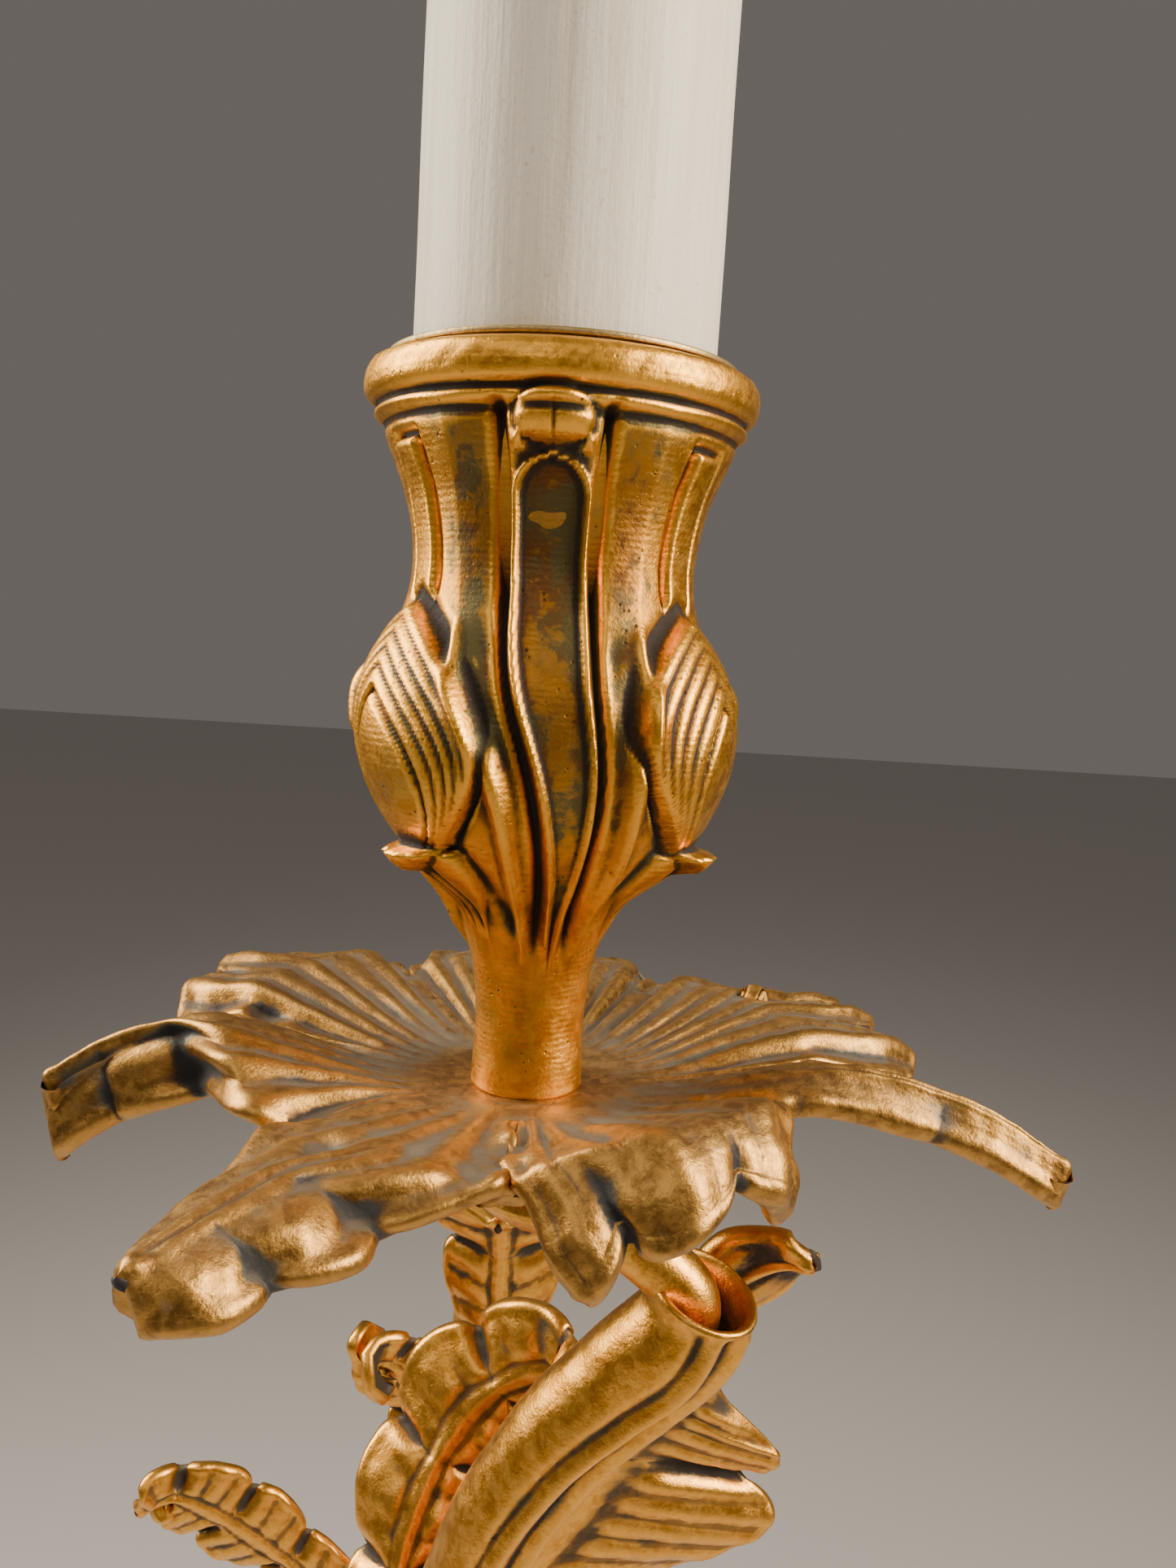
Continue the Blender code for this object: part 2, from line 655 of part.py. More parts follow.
def bar_section(place, along, twist, radius, relief=1.0, count=16):
    """One ring of the branch: a rounded bar with two beads and a groove between them along its outer face."""
    side = Vector((1, 0.15, 0))
    across = (side - along * side.dot(along)).normalized()
    across = Matrix.Rotation(math.radians(twist), 3, along) @ across
    up = along.cross(across).normalized()
    points = []
    for i in range(count):
        a = 2 * math.pi * i / count
        off = abs(off_angle(math.degrees(a), -67.5))
        bead = 0.13 * math.exp(-(((off - 20) / 10) ** 2)) - 0.10 * math.exp(-((off / 8) ** 2))
        r = radius * (1 + bead * relief)
        points.append(place + across * (r * math.cos(a)) + up * (r * math.sin(a)))
    return points


def branch_points():
    """The branch's midline in the frame, from the boss's face to the mouth."""
    origin = Vector((CANDLE_X, CANDLE_Y, PAN_Z))
    boss = Vector((0, -(PLATE_THICK + BOSS_HEIGHT + GAP), BOSS_Z))
    return [boss, boss - Vector((0, ROOT_FLANGE_THICK, 0))] + [origin + Vector(p) * MM for p in BRANCH_LINE]


def branch_rings(extra=0.0):
    """Rings of the branch from its flange on the boss to its mouth, each enlarged by extra."""
    line = branch_points()
    out = Vector((0, -1, 0))
    rings = [bar_section(line[0] - out * extra, out, -40, ROOT_FLANGE_R + extra, 0.0),
             bar_section(line[1] + out * extra, out, -40, ROOT_FLANGE_R + extra, 0.0)]
    steps = 32
    for k in range(steps + 1):
        t = k / steps
        place = catmull(line[1:], t)
        along = (catmull(line[1:], t + 0.01) - catmull(line[1:], t - 0.01)).normalized()
        if k == 0:
            along = out
            place = place + out * (0.0001 + extra)
        radius = BRANCH_R * between(BRANCH_GIRTHS, t) + extra
        rings.append(bar_section(place, along, between(BRANCH_TWIST, t), radius, min(1.0, 8 * t)))
    return rings


def make_branch():
    """The cast branch, with a short neck that rises from its mouth into the seat."""
    rings = branch_rings()
    line = branch_points()
    mouth = line[-1]
    along = (catmull(line, 1.0) - catmull(line, 0.99)).normalized()
    for back, radius in ((0.0001, MOUTH_R - 0.0008), (0.0030, MOUTH_R - 0.0016), (0.0042, NECK_R * 1.15)):
        rings.append(bar_section(mouth - along * back, along, 20, radius, 0.0))
    neck_top = Vector((CANDLE_X + NECK_SHIFT, CANDLE_Y, PAN_Z + SEAT_TOP_Z - SEAT_HEIGHT + NECK_IN_SEAT - GAP))
    neck_foot = neck_top - Vector((0, 0, NECK_IN_SEAT + 0.0004))
    start = mouth - along * 0.0042
    handle, rise = start + along * 0.006, neck_foot - Vector((0, 0, 0.0035))
    for k in range(1, 8):
        t = k / 7
        place = start * (1 - t) ** 3 + handle * 3 * t * (1 - t) ** 2 + rise * 3 * t * t * (1 - t) + neck_foot * t ** 3
        way = (handle - start) * (1 - t) ** 2 + (rise - handle) * 2 * t * (1 - t) + (neck_foot - rise) * t * t
        rings.append(bar_section(place, way.normalized(), 20, NECK_R, 0.0))
    rings.append(bar_section(neck_top, Vector((0, 0, 1)), 20, NECK_R, 0.0))
    made = add_object("branch", loft("branch", rings), "gilt_dull")
    root = branch_points()[0]
    cut(made,
        rod_cutter("neck_bore", NECK_SCREW_R + GAP, neck_top - Vector((0, 0, 0.0045)),
                   neck_top + Vector((0, 0, 0.003)), 12),
        rod_cutter("bolt_bore", BOLT_R + GAP, root - Vector((0, BOLT_IN_BRANCH, 0)), root + Vector((0, 0.003, 0))))
    for place, way, depth in leaf_pin_lines():
        cut(made, rod_cutter("pin_bore", LEAF_PIN_R + GAP, place, place + way * depth, 10))
    return made


# Leaves on the branch: spine in millimetres from the candle's axis at the pan, the way across the leaf, half width,
# lobes, crown, flute, sweep, the share of the width on the first side, and how far along the leaf its pin is
BRANCH_LEAVES = {
    "outer_leaf": (((-7, 15.4, -80), (-4, 15.2, -68), (2, 15, -56), (8, 14.5, -46), (13.5, 13.5, -38), (18, 12.5, -33)),
                   (-0.95, -0.2, 0.3), 0.0240, 3, 0.10, 0.0012, 0.5, 0.15, 0.17),
    "curled_leaf": (((-9, 18, -86), (-12, 20, -75), (-11, 24.5, -61), (-5, 28, -49), (4, 26, -42), (9, 21, -45)),
                    (-0.8, 0.2, 0.4), 0.0095, 6, 0.35, 0.0010, 0.35, 1.0, 0.06),
    "lower_leaf": (((-12.5, 9.5, -119), (-15.5, 6, -108), (-21.5, -1.5, -99), (-29, -7, -94.5), (-35.5, -9, -98.5)),
                   (-0.55, -0.25, -0.8), 0.0085, 4, 0.25, 0.0009, 0.5, 1.0, 0.05),
    "mouth_leaf": (((11, 8.5, -32), (14.5, 8.6, -28), (18.2, 8.2, -23.5), (21.5, 7.2, -19.8), (24.5, 5.6, -17.5),
                    (27.2, 3.6, -17)), (-0.76, -0.24, 0.57), 0.0052, 1, 0.30, 0.0004, 0.3, 1.0, 0.14),
}
LEAF_PIN_DEPTH = 0.0030
LEAF_PIN_PROUD = 0.0022


def branch_leaf_spine(name):
    stand = Vector((CANDLE_X, CANDLE_Y, PAN_Z)) / MM
    return [stand + Vector(p) for p in BRANCH_LEAVES[name][0]]


def leaf_pin_lines():
    """For each leaf on the branch: where its pin starts in the bar, which way it points, and how far it goes."""
    line = branch_points()[1:]
    lines = []
    for name, row in BRANCH_LEAVES.items():
        at = catmull(branch_leaf_spine(name), row[8]) * MM
        middle = min((catmull(line, k / 200) for k in range(201)), key=lambda q: (q - at).length)
        way = (at - middle).normalized()
        start = middle + way * (BRANCH_R - LEAF_PIN_DEPTH)
        lines.append((start, way, (at - start).length + abs(row[4]) * row[2] * 0.5 + LEAF_PIN_PROUD))
    return lines


def branch_clearance():
    """What a leaf on the branch is cut back by, so that it lies on the bar without touching it."""
    made = bpy.data.objects.new("branch_clearance", loft("branch_clearance", branch_rings(GAP)))
    made.hide_render = True
    made.display_type = "WIRE"
    CUTTERS.objects.link(made)
    return made


def make_branch_leaves():
    """The cast leaves laid on the branch, each held by a headed pin."""
    bar = branch_clearance()
    for (name, row), (start, way, depth) in zip(BRANCH_LEAVES.items(), leaf_pin_lines()):
        _, side, half_width, lobes, crown, flute, sweep, first, _ = row
        made = leaf(name, branch_leaf_spine(name), side, half_width, "gilt_dull", lobes=lobes, crown=crown,
                    flute=flute, sweep=sweep, first=first)
        cut(made, bar, rod_cutter(name + "_hole", LEAF_PIN_R + GAP, start, start + way * (depth + 0.01), 10))
        profile = [(0.0, depth + LEAF_PIN_HEAD), (LEAF_PIN_HEAD_R * 0.7, depth + LEAF_PIN_HEAD * 0.75),
                   (LEAF_PIN_HEAD_R, depth), (LEAF_PIN_R, depth), (LEAF_PIN_R, GAP), (0.0, GAP)]
        pin = turned(name + "_pin", profile, "gilt_dull", steps=10)
        pin.rotation_mode = "QUATERNION"
        pin.rotation_quaternion = way.to_track_quat("Z", "Y")
        pin.location = start


# ---------------------------------------------------------------- wall plate

# Half the plate's width at heights from its bottom to its top
PLATE_HALF_WIDTHS = (
    (PLATE_BOTTOM, 0.0020), (-0.090, 0.0085), (-0.066, 0.0150), (-0.046, 0.0125), (-0.024, 0.0200), (0.010, 0.0250),
    (0.034, 0.0170), (0.052, 0.0105), (0.074, 0.0085), (PLATE_TOP, 0.0020))


def plate_mesh(name, extra=0.0):
    """The plate with its scrolled outline and bevelled front edge, enlarged by extra."""
    count = 26
    sides = []
    for sign in (1, -1):
        for k in range(count):
            t = k / (count - 1)
            t = t if sign > 0 else 1 - t
            z = PLATE_BOTTOM + (PLATE_TOP - PLATE_BOTTOM) * t
            if sign < 0 and k in (0, count - 1):
                continue
            sides.append((sign * (between(PLATE_HALF_WIDTHS, z) + extra), z))
    rings = []
    for y, inset in ((extra, 0.0), (-PLATE_THICK * 0.6 - extra, 0.0), (-PLATE_THICK - extra, 0.0012)):
        middle = (PLATE_BOTTOM + PLATE_TOP) / 2
        half = (PLATE_TOP - PLATE_BOTTOM) / 2
        rings.append([
            Vector((x - math.copysign(min(inset, abs(x) * 0.6), x), y,
                    middle + (z - middle) * (1 + (extra - inset) / half))) for x, z in sides])
    return loft(name, rings)


def make_plate():
    """The plate with its boss, two wall holes and, at the back, a recess for the branch's nut."""
    made = add_object("wall_plate", plate_mesh("wall_plate"), "gilt_dull")
    boss_rings = []
    face = PLATE_THICK + BOSS_HEIGHT
    for y, radius in ((PLATE_THICK * 0.5, BOSS_R), (PLATE_THICK + 0.001, BOSS_R), (PLATE_THICK + 0.0035, BOSS_R * 0.9),
                      (PLATE_THICK + 0.005, BOSS_R * 0.94), (face - 0.0015, BOSS_R * 0.8), (face, BOSS_R * 0.7)):
        boss_rings.append([
            Vector((radius * math.cos(2 * math.pi * i / 24), -y, BOSS_Z + radius * math.sin(2 * math.pi * i / 24)))
            for i in range(24)])
    boss = bpy.data.objects.new("boss", loft("boss", boss_rings))
    boss.hide_render = True
    boss.display_type = "WIRE"
    CUTTERS.objects.link(boss)
    join = made.modifiers.new("Boss", "BOOLEAN")
    join.object = boss
    join.operation = "UNION"
    join.solver = "EXACT"
    centre = Vector((0, 0, BOSS_Z))
    cut(made,
        rod_cutter("nut_recess", RECESS_R, centre + Vector((0, -RECESS_DEPTH, 0)), centre + Vector((0, 0.01, 0)), 24,
                   0.2),
        rod_cutter("bolt_hole", BOLT_R + GAP, centre + Vector((0, -0.03, 0)), centre + Vector((0, 0.01, 0))))
    for z in WALL_HOLES_Z:
        cut(made, rod_cutter("wall_hole", WALL_HOLE_R, (0, -0.02, z), (0, 0.01, z), turned=0.2))
    for name in PLATE_LEAVES:
        at, _ = plate_rivet(name)
        cut(made, rod_cutter(name + "_bore", RIVET_R + GAP, at - Vector((0, 0.02, 0)), at + Vector((0, 0.03, 0)), 10))
    return made


def along_wall(name, profile, slot, x, z, steps=16):
    """A piece turned about a line square to the wall; its profile's heights run towards the room."""
    made = turned(name, profile, slot, steps=steps)
    made.rotation_euler = (math.radians(90), 0, 0)
    made.location = (x, 0, z)
    return made


def make_bolt():
    """The branch's bolt, with its washer and nut sunk in the back of the plate."""
    seat = RECESS_DEPTH - GAP
    end = PLATE_THICK + BOSS_HEIGHT + BOLT_IN_BRANCH - GAP
    washer_back = seat - WASHER_THICK
    nut_front = washer_back - GAP
    low = nut_front - BOLT_NUT_THICK - 0.0006
    bolt = [(0.0, end), (BOLT_R * 0.8, end), (BOLT_R, end - 0.0006), (BOLT_R, low + 0.0004), (BOLT_R * 0.8, low),
            (0.0, low)]
    along_wall("branch_bolt", bolt, "iron", 0, BOSS_Z)
    bore = BOLT_R + GAP
    washer = [(bore, seat), (WASHER_R, seat), (WASHER_R, washer_back), (bore, washer_back), (bore, seat)]
    along_wall("branch_washer", washer, "iron", 0, BOSS_Z, 24)
    nut = hexagon("branch_nut", BOLT_NUT_ACROSS, nut_front - BOLT_NUT_THICK, nut_front, "iron", None, bore)
    nut.rotation_euler = (math.radians(90), 0, 0)
    nut.location = (0, 0, BOSS_Z)


# Leaves on the plate: spine in millimetres in the frame, the way across the leaf, half width, lobes, and how far
# along the leaf its rivet is
PLATE_LEAVES = {
    "crest_leaf": (((0, -6.6, 52), (0, -6.6, 66), (0, -10, 82), (0, -15, 96), (0, -22, 104), (0, -27, 101)),
                   (-1, 0, 0), 0.0125, 4, 0.15),
    "left_crest_leaf": (((-9, -6.6, 28), (-8.5, -6.6, 40), (-9.5, -10.5, 54), (-13.5, -15.5, 67), (-18, -19.5, 74),
                         (-22, -19.5, 71)), (-1, 0, -0.35), 0.0092, 4, 0.13),
    "right_crest_leaf": (((9, -6.6, 28), (10, -6.6, 40), (12.5, -9.5, 53), (16.5, -13, 64), (21, -16, 70),
                          (24, -16, 67)), (-1, 0, 0.35), 0.0072, 4, 0.13),
    "side_leaf": (((-18, -6.6, 8), (-25, -7.5, 19), (-34, -12, 31), (-43, -17, 42), (-51, -21, 49), (-57, -23, 47)),
                  (-0.78, 0, -0.62), 0.0095, 5, 0.10),
    "tail_leaf": (((0, -6.6, -62), (0, -6.6, -76), (0, -9, -90), (0, -13, -102), (0, -18, -108), (0, -22, -106)),
                  (1, 0, 0), 0.0100, 4, 0.14),
}
PLATE_LEAF_CROWN = 0.22


def plate_rivet(name):
    """The point of a plate leaf's face that its rivet goes through, and the depth from the wall to the rivet's head."""
    row = PLATE_LEAVES[name]
    at = catmull([Vector(p) for p in row[0]], row[4]) * MM
    return at, -at.y + PLATE_LEAF_CROWN * row[2] * 0.5 + 2 * GAP


def make_plate_leaves():
    """The leaves riveted to the front of the plate."""
    clearance = bpy.data.objects.new("plate_clearance", plate_mesh("plate_clearance", GAP))
    clearance.hide_render = True
    clearance.display_type = "WIRE"
    CUTTERS.objects.link(clearance)
    for name, (spine, side, half_width, lobes, _) in PLATE_LEAVES.items():
        made = leaf(name, spine, side, half_width, "gilt_dull", lobes=lobes, notch=0.28, crown=PLATE_LEAF_CROWN,
                    flute=0.0009, sweep=0.5)
        at, depth = plate_rivet(name)
        cut(made, clearance,
            rod_cutter(name + "_hole", RIVET_R + GAP, at - Vector((0, 0.02, 0)), at + Vector((0, 0.03, 0)), 10))
        profile = [(0.0, depth + RIVET_HEAD), (RIVET_HEAD_R * 0.7, depth + RIVET_HEAD * 0.75), (RIVET_HEAD_R, depth),
                   (RIVET_R, depth), (RIVET_R, 0.0005), (0.0, 0.0005)]
        along_wall(name.replace("leaf", "rivet"), profile, "gilt_dull", at.x, at.z, 10)


def main():
    stand = empty_at("candle_stand", (CANDLE_X, CANDLE_Y, PAN_Z))
    above_pan = empty_at("above_pan", (0, 0, GAP))
    above_pan.parent = stand
    make_nozzle(above_pan)
    make_liner(above_pan)
    make_candle(above_pan)
    make_nozzle_stud(above_pan)
    make_pan(stand)
    make_seat(stand)
    make_branch()
    make_branch_leaves()
    make_plate()
    make_bolt()
    make_plate_leaves()


clear_scene()
SCONCE = new_collection("wall_sconce")
CUTTERS = new_collection("cutters", hidden=True)
main()
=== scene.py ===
"""Gilt-bronze rococo wall sconce with one candle: the finished surfaces, laid on the fixed frame.

Metres, +Z up, the wall behind at +Y. Sections follow the sconce from its nozzle and pan down to the wall.
"""

import math

import bmesh
import bpy
import numpy as np
from mathutils import Matrix, Vector


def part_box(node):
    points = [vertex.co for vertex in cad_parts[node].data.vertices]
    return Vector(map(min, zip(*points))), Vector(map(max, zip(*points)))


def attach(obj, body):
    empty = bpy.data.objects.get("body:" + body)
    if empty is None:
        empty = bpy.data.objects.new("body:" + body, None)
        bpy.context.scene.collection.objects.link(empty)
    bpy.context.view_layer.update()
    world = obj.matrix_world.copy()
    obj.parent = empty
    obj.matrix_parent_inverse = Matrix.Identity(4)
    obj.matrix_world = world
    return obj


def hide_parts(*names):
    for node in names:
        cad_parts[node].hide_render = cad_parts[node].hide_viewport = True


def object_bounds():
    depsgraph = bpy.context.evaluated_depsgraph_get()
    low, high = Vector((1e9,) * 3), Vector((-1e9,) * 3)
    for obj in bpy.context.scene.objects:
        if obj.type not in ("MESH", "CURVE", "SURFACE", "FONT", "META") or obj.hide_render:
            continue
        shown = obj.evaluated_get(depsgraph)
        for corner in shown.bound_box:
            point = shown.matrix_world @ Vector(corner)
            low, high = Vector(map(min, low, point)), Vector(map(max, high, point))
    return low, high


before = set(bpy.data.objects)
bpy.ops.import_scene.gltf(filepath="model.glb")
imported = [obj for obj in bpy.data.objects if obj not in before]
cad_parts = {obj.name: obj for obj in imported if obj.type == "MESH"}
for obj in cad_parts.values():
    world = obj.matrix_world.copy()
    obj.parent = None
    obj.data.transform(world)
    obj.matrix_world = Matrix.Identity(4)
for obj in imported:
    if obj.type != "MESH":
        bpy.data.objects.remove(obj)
frame_box = [list(corner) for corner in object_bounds()]
MM = 0.001


# ---------------------------------------------------------------- room
# A pale floor well below the sconce, grey air round it, and a camera close to the nozzle and a little above
# the pan. Two tall soft lights stand left and right of the sconce and rake across it, with a weak one in
# front.

nozzle_low, nozzle_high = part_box("nozzle")
candle_axis = Vector(((nozzle_low[0] + nozzle_high[0]) / 2, (nozzle_low[1] + nozzle_high[1]) / 2, 0))
nozzle_foot = Vector((candle_axis.x, candle_axis.y, nozzle_low[2]))

FLOOR_SIZE = 12.0
FLOOR_DROP = 0.25
floor_mesh = bpy.data.meshes.new("floor")
half = FLOOR_SIZE / 2
floor_mesh.from_pydata(
    [(-half, -half, 0), (half, -half, 0), (half, half, 0), (-half, half, 0)], [], [(0, 1, 2, 3)])
floor = bpy.data.objects.new("floor", floor_mesh)
floor.location = (0, 0, frame_box[0][2] - FLOOR_DROP)
bpy.context.scene.collection.objects.link(floor)
floor_finish = bpy.data.materials.new("pale_floor")
floor_finish.use_nodes = True
floor_finish.node_tree.nodes["Principled BSDF"].inputs["Base Color"].default_value = (0.62, 0.60, 0.58, 1)
floor_finish.node_tree.nodes["Principled BSDF"].inputs["Roughness"].default_value = 0.9
floor_mesh.materials.append(floor_finish)

air = bpy.data.worlds.new("air")
air.use_nodes = True
air.node_tree.nodes["Background"].inputs["Color"].default_value = (0.52, 0.46, 0.42, 1)
air.node_tree.nodes["Background"].inputs["Strength"].default_value = 0.28
bpy.context.scene.world = air


def soft_light(name, place, aim, width, height, power, colour):
    lamp = bpy.data.lights.new(name, "AREA")
    lamp.shape = "RECTANGLE"
    lamp.size = width
    lamp.size_y = height
    lamp.energy = power
    lamp.color = colour
    made = bpy.data.objects.new(name, lamp)
    made.location = nozzle_foot + Vector(place)
    made.rotation_euler = (Vector(aim) - Vector(place)).to_track_quat("-Z", "Y").to_euler()
    bpy.context.scene.collection.objects.link(made)
    return made


soft_light("left_light", (-0.62, 0.10, 0.34), (0, 0, 0.02), 0.30, 0.70, 10.5, (1.0, 0.90, 0.76))
soft_light("right_light", (0.60, -0.18, 0.30), (0, 0, 0.02), 0.26, 0.60, 10.5, (1.0, 0.88, 0.72))
soft_light("front_light", (-0.25, -0.80, 0.55), (0, 0, 0.0), 0.5, 0.5, 1.6, (1.0, 0.93, 0.85))

CAMERA_OFFSET = Vector((0.0038, -0.1004, 0.0380))  # from the nozzle's foot
CAMERA_DOWN = 7.0
CAMERA_ROLL = 3.4
camera = bpy.data.objects.new("camera", bpy.data.cameras.new("camera"))
camera.data.sensor_width = 36
camera.data.lens = 28.0
camera.data.clip_start = 0.005
camera.location = nozzle_foot + CAMERA_OFFSET
nod = Matrix.Rotation(math.radians(90 - CAMERA_DOWN), 3, "X")
roll = Matrix.Rotation(math.radians(CAMERA_ROLL), 3, "Z")
camera.rotation_euler = (nod @ roll).to_euler()
bpy.context.scene.collection.objects.link(camera)
bpy.context.scene.camera = camera


# ---------------------------------------------------------------- nozzle
# A vase-shaped socket cast in bronze, chased by hand and fire-gilt. Three tongues with scrolled heads run
# down it, and between them shells lie on the bulb under a plain strap. The gilding is bright on the ridges
# and has gone brown, black and olive in the hollows; its front is painted darker as well, partly as shade and
# partly as tarnish. It screws down on the pan by the stud in its foot.

NOZZLE_HEIGHT = 58.0  # millimetres
NOZZLE_FRONT = -90.0  # degrees, the way the first tongue faces
NOZZLE_PROFILE = (
    (0.0, 4.7), (6.2, 4.6), (9.0, 4.85), (11.4, 5.3), (14.3, 6.3), (16.1, 7.3), (17.7, 8.6), (20.3, 10.4),
    (23.6, 12.3), (26.7, 13.5), (30.3, 14.1), (33.4, 13.9), (35.3, 13.4), (37.4, 12.6), (40.3, 11.5),
    (42.2, 11.2), (45.4, 11.35), (47.2, 11.7), (48.6, 12.1), (50.1, 12.7), (52.6, 13.7), (53.5, 14.0),
    (53.75, 14.5), (54.1, 14.75), (54.4, 14.6), (54.62, 14.15), (54.85, 14.8), (55.2, 15.3), (55.9, 15.6),
    (56.7, 15.62), (57.4, 15.4), (57.8, 15.1), (58.0, 14.6))
# The ornament is laid out on a height of 60.5 mm
ORNAMENT_SCALE = 60.5 / NOZZLE_HEIGHT
NOZZLE_SWIRL = ((12, 15.0), (20, 14.0), (28, 10.0), (36, 3.0), (45, 0.0))
TONGUE_HALF = ((10, 0.0), (14, 3.0), (18, 4.6), (24, 6.8), (30, 8.8), (36, 10.8), (41, 12.4), (50, 12.8),
               (56, 13.0))
RIB_PLACE = ((13, 21.0), (20, 23.0), (28, 23.0), (36, 30.0), (44, 36.0), (56, 36.0))
SHELL_FOOT = 20.0
SHELL_TOP = 41.5
SHELL_HALF = 8.6


def along(stops, x):
    """Smooth values at x, from (x, value) stops."""
    xs = np.array([stop[0] for stop in stops], float)
    vs = np.array([stop[1] for stop in stops], float)
    x = np.clip(x, xs[0], xs[-1])
    i = np.clip(np.searchsorted(xs, x, side="right") - 1, 0, len(xs) - 2)
    slopes = np.gradient(vs, xs)
    width = xs[i + 1] - xs[i]
    k = (x - xs[i]) / width
    a, b = vs[i], vs[i + 1]
    ma, mb = slopes[i] * width, slopes[i + 1] * width
    ends = (2 * k ** 3 - 3 * k ** 2 + 1) * a + (3 * k ** 2 - 2 * k ** 3) * b
    return ends + (k ** 3 - 2 * k ** 2 + k) * ma + (k ** 3 - k ** 2) * mb


def step(low, high, x):
    """0 below low and 1 above high, smooth between them; it runs down when low is the greater."""
    k = np.clip((x - low) / (high - low), 0, 1)
    return k * k * (3 - 2 * k)


def bump(x, centre, width):
    return np.exp(-((x - centre) / width) ** 2)


def unevenness(x, y, z, size, seed=0.0):
    """The gentle irregularity of hand-finished casting, from -1 to 1; size is its wavelength."""
    k = 2 * math.pi / size
    total = np.sin(k * (x + 0.6 * y) + seed) * np.sin(k * (0.8 * z - 0.5 * y) + 1.7 * seed + 1)
    total += 0.6 * np.sin(k * 1.9 * (y + 0.4 * z) + 2.3 * seed) * np.sin(k * 1.7 * (x - 0.7 * z) + seed + 2)
    total += 0.35 * np.sin(k * 3.7 * (z - 0.3 * x) + 3.1 * seed) * np.sin(k * 3.1 * (y + x) + 0.6 * seed)
    return total / 1.95


def shell_level(x, z):
    """Which of the shell's nested arches a point lies on, from 0 at its middle to 1 at its edge."""
    low, high = np.zeros_like(x), np.full_like(x, 1.3)
    for _ in range(14):
        middle = (low + high) / 2
        top = (SHELL_TOP - SHELL_FOOT) * (0.45 + 0.55 * middle)
        v = np.clip((z - SHELL_FOOT) / top, 0, 1)
        half = SHELL_HALF * middle * np.sin(math.pi * v ** 1.15) ** 0.85 / 0.995
        inside = (np.abs(x) <= half) & (z > SHELL_FOOT) & (z < SHELL_FOOT + top)
        high = np.where(inside, middle, high)
        low = np.where(inside, low, middle)
    return (low + high) / 2


def nozzle_relief(degrees, z):
    """Millimetres that the ornament stands out of the vase, at an angle and a height in millimetres."""
    radius = along(NOZZLE_PROFILE, z)
    z = z * ORNAMENT_SCALE
    turned = degrees - NOZZLE_FRONT - along(NOZZLE_SWIRL, z)
    offset = (turned + 60) % 120 - 60
    side = np.abs(offset)
    half = along(TONGUE_HALF, z)
    rib = along(RIB_PLACE, z)
    to_mm = radius * math.pi / 180
    below_head = step(56.6, 55.8, z)
    arch = half * np.sqrt(np.clip(1 - np.clip((z - 49.0) / 3.4, 0, 1) ** 2.4, 0, 1))
    in_tongue = step(arch + 0.5, arch - 0.5, side)
    fade = step(10, 15, z) * below_head
    border = bump((side - arch) * to_mm, 0.0, 0.30) * step(53.2, 52.6, z)
    relief = -0.30 * in_tongue * fade + 0.52 * border * fade
    relief -= 1.25 * bump((side - half) * to_mm, 0.95, 0.45) * fade * step(10, 20, z)
    ridge_mm = (side - rib) * to_mm
    upper, lower = step(38, 42, z), step(41, 37.5, z) * step(11.5, 15, z)
    relief += upper * below_head * (0.30 * np.maximum(0, 1 - np.abs(ridge_mm) / 3.4) - 0.10)
    thickness = along(((12, 0.35), (22, 0.60), (33, 0.90), (38, 0.6)), z)
    relief += lower * 1.10 * bump(ridge_mm, 0.0, thickness)
    relief -= lower * 0.50 * bump((side - (half + rib) / 2) * to_mm, 0.0, 1.0) * step(14, 22, z)
    e = 60 - side
    slot = bump(e * to_mm, 2.05, 0.32) * step(41.6, 43.0, z) * step(54.6, 53.8, z)
    strap = step(2.1, 1.9, e * to_mm) * step(40.5, 42.5, z)
    relief += 0.34 * strap * step(54.0, 53.6, z) - 1.60 * slot
    relief -= 0.80 * step(2.5, 2.2, e * to_mm) * bump(z, 54.3, 0.30)
    x = e * np.sign(offset) * -1 * to_mm
    level = shell_level(np.abs(x), z)
    inside = step(1.02, 0.95, level)
    swell = np.sqrt(np.clip(1 - (level * 0.96) ** 2.2, 0, 1))
    grooves = 0.0
    for place, depth in ((0.40, 0.90), (0.56, 0.62), (0.68, 0.54), (0.79, 0.48), (0.89, 0.40)):
        grooves = grooves + depth * bump(level, place, 0.022)
    arch = 0.35 + 0.65 * step(26, 36, z)
    relief += inside * (0.35 + 1.45 * swell - grooves * arch * (0.55 + 0.45 * (level < 0.5)))
    relief -= 0.5 * bump(level, 1.06, 0.06) * step(SHELL_FOOT, SHELL_FOOT + 4, z)
    curl = step(14.5, 21.6, z) ** 2 * step(22.3, 21.75, z)
    tip = step(1.0, 0.75, np.abs(x) / (1.2 + 2.6 * step(14.0, 20.5, z)))
    creases = 0.28 * bump(np.abs(x), 0.9, 0.22) + 0.20 * bump(x, 0, 0.2)
    relief += tip * (2.25 * curl * (1 - 0.08 * x * x) - creases * step(22.3, 21.5, z) * step(13.5, 16, z))
    relief += tip * 0.25 * step(12.5, 15.0, z) * step(22.3, 21.6, z)
    relief -= 0.55 * bump(np.abs(x), 3.6, 0.7) * step(13.5, 16.5, z) * step(23.0, 19.0, z)
    across = offset * to_mm
    reach = np.sqrt((across / 2.9) ** 2 + ((z - 55.1) / 2.0) ** 2)
    dome = np.sqrt(np.clip(1 - reach ** 2.6, 0, 1))
    curl = bump(np.abs(across), 2.35, 0.55) * bump(z, 53.5, 0.65)
    relief += dome * 1.6 + 0.95 * curl * (1 - dome)
    relief -= 0.45 * bump(np.abs(across), 2.2, 0.25) * bump(z, 53.4, 0.3)
    return relief


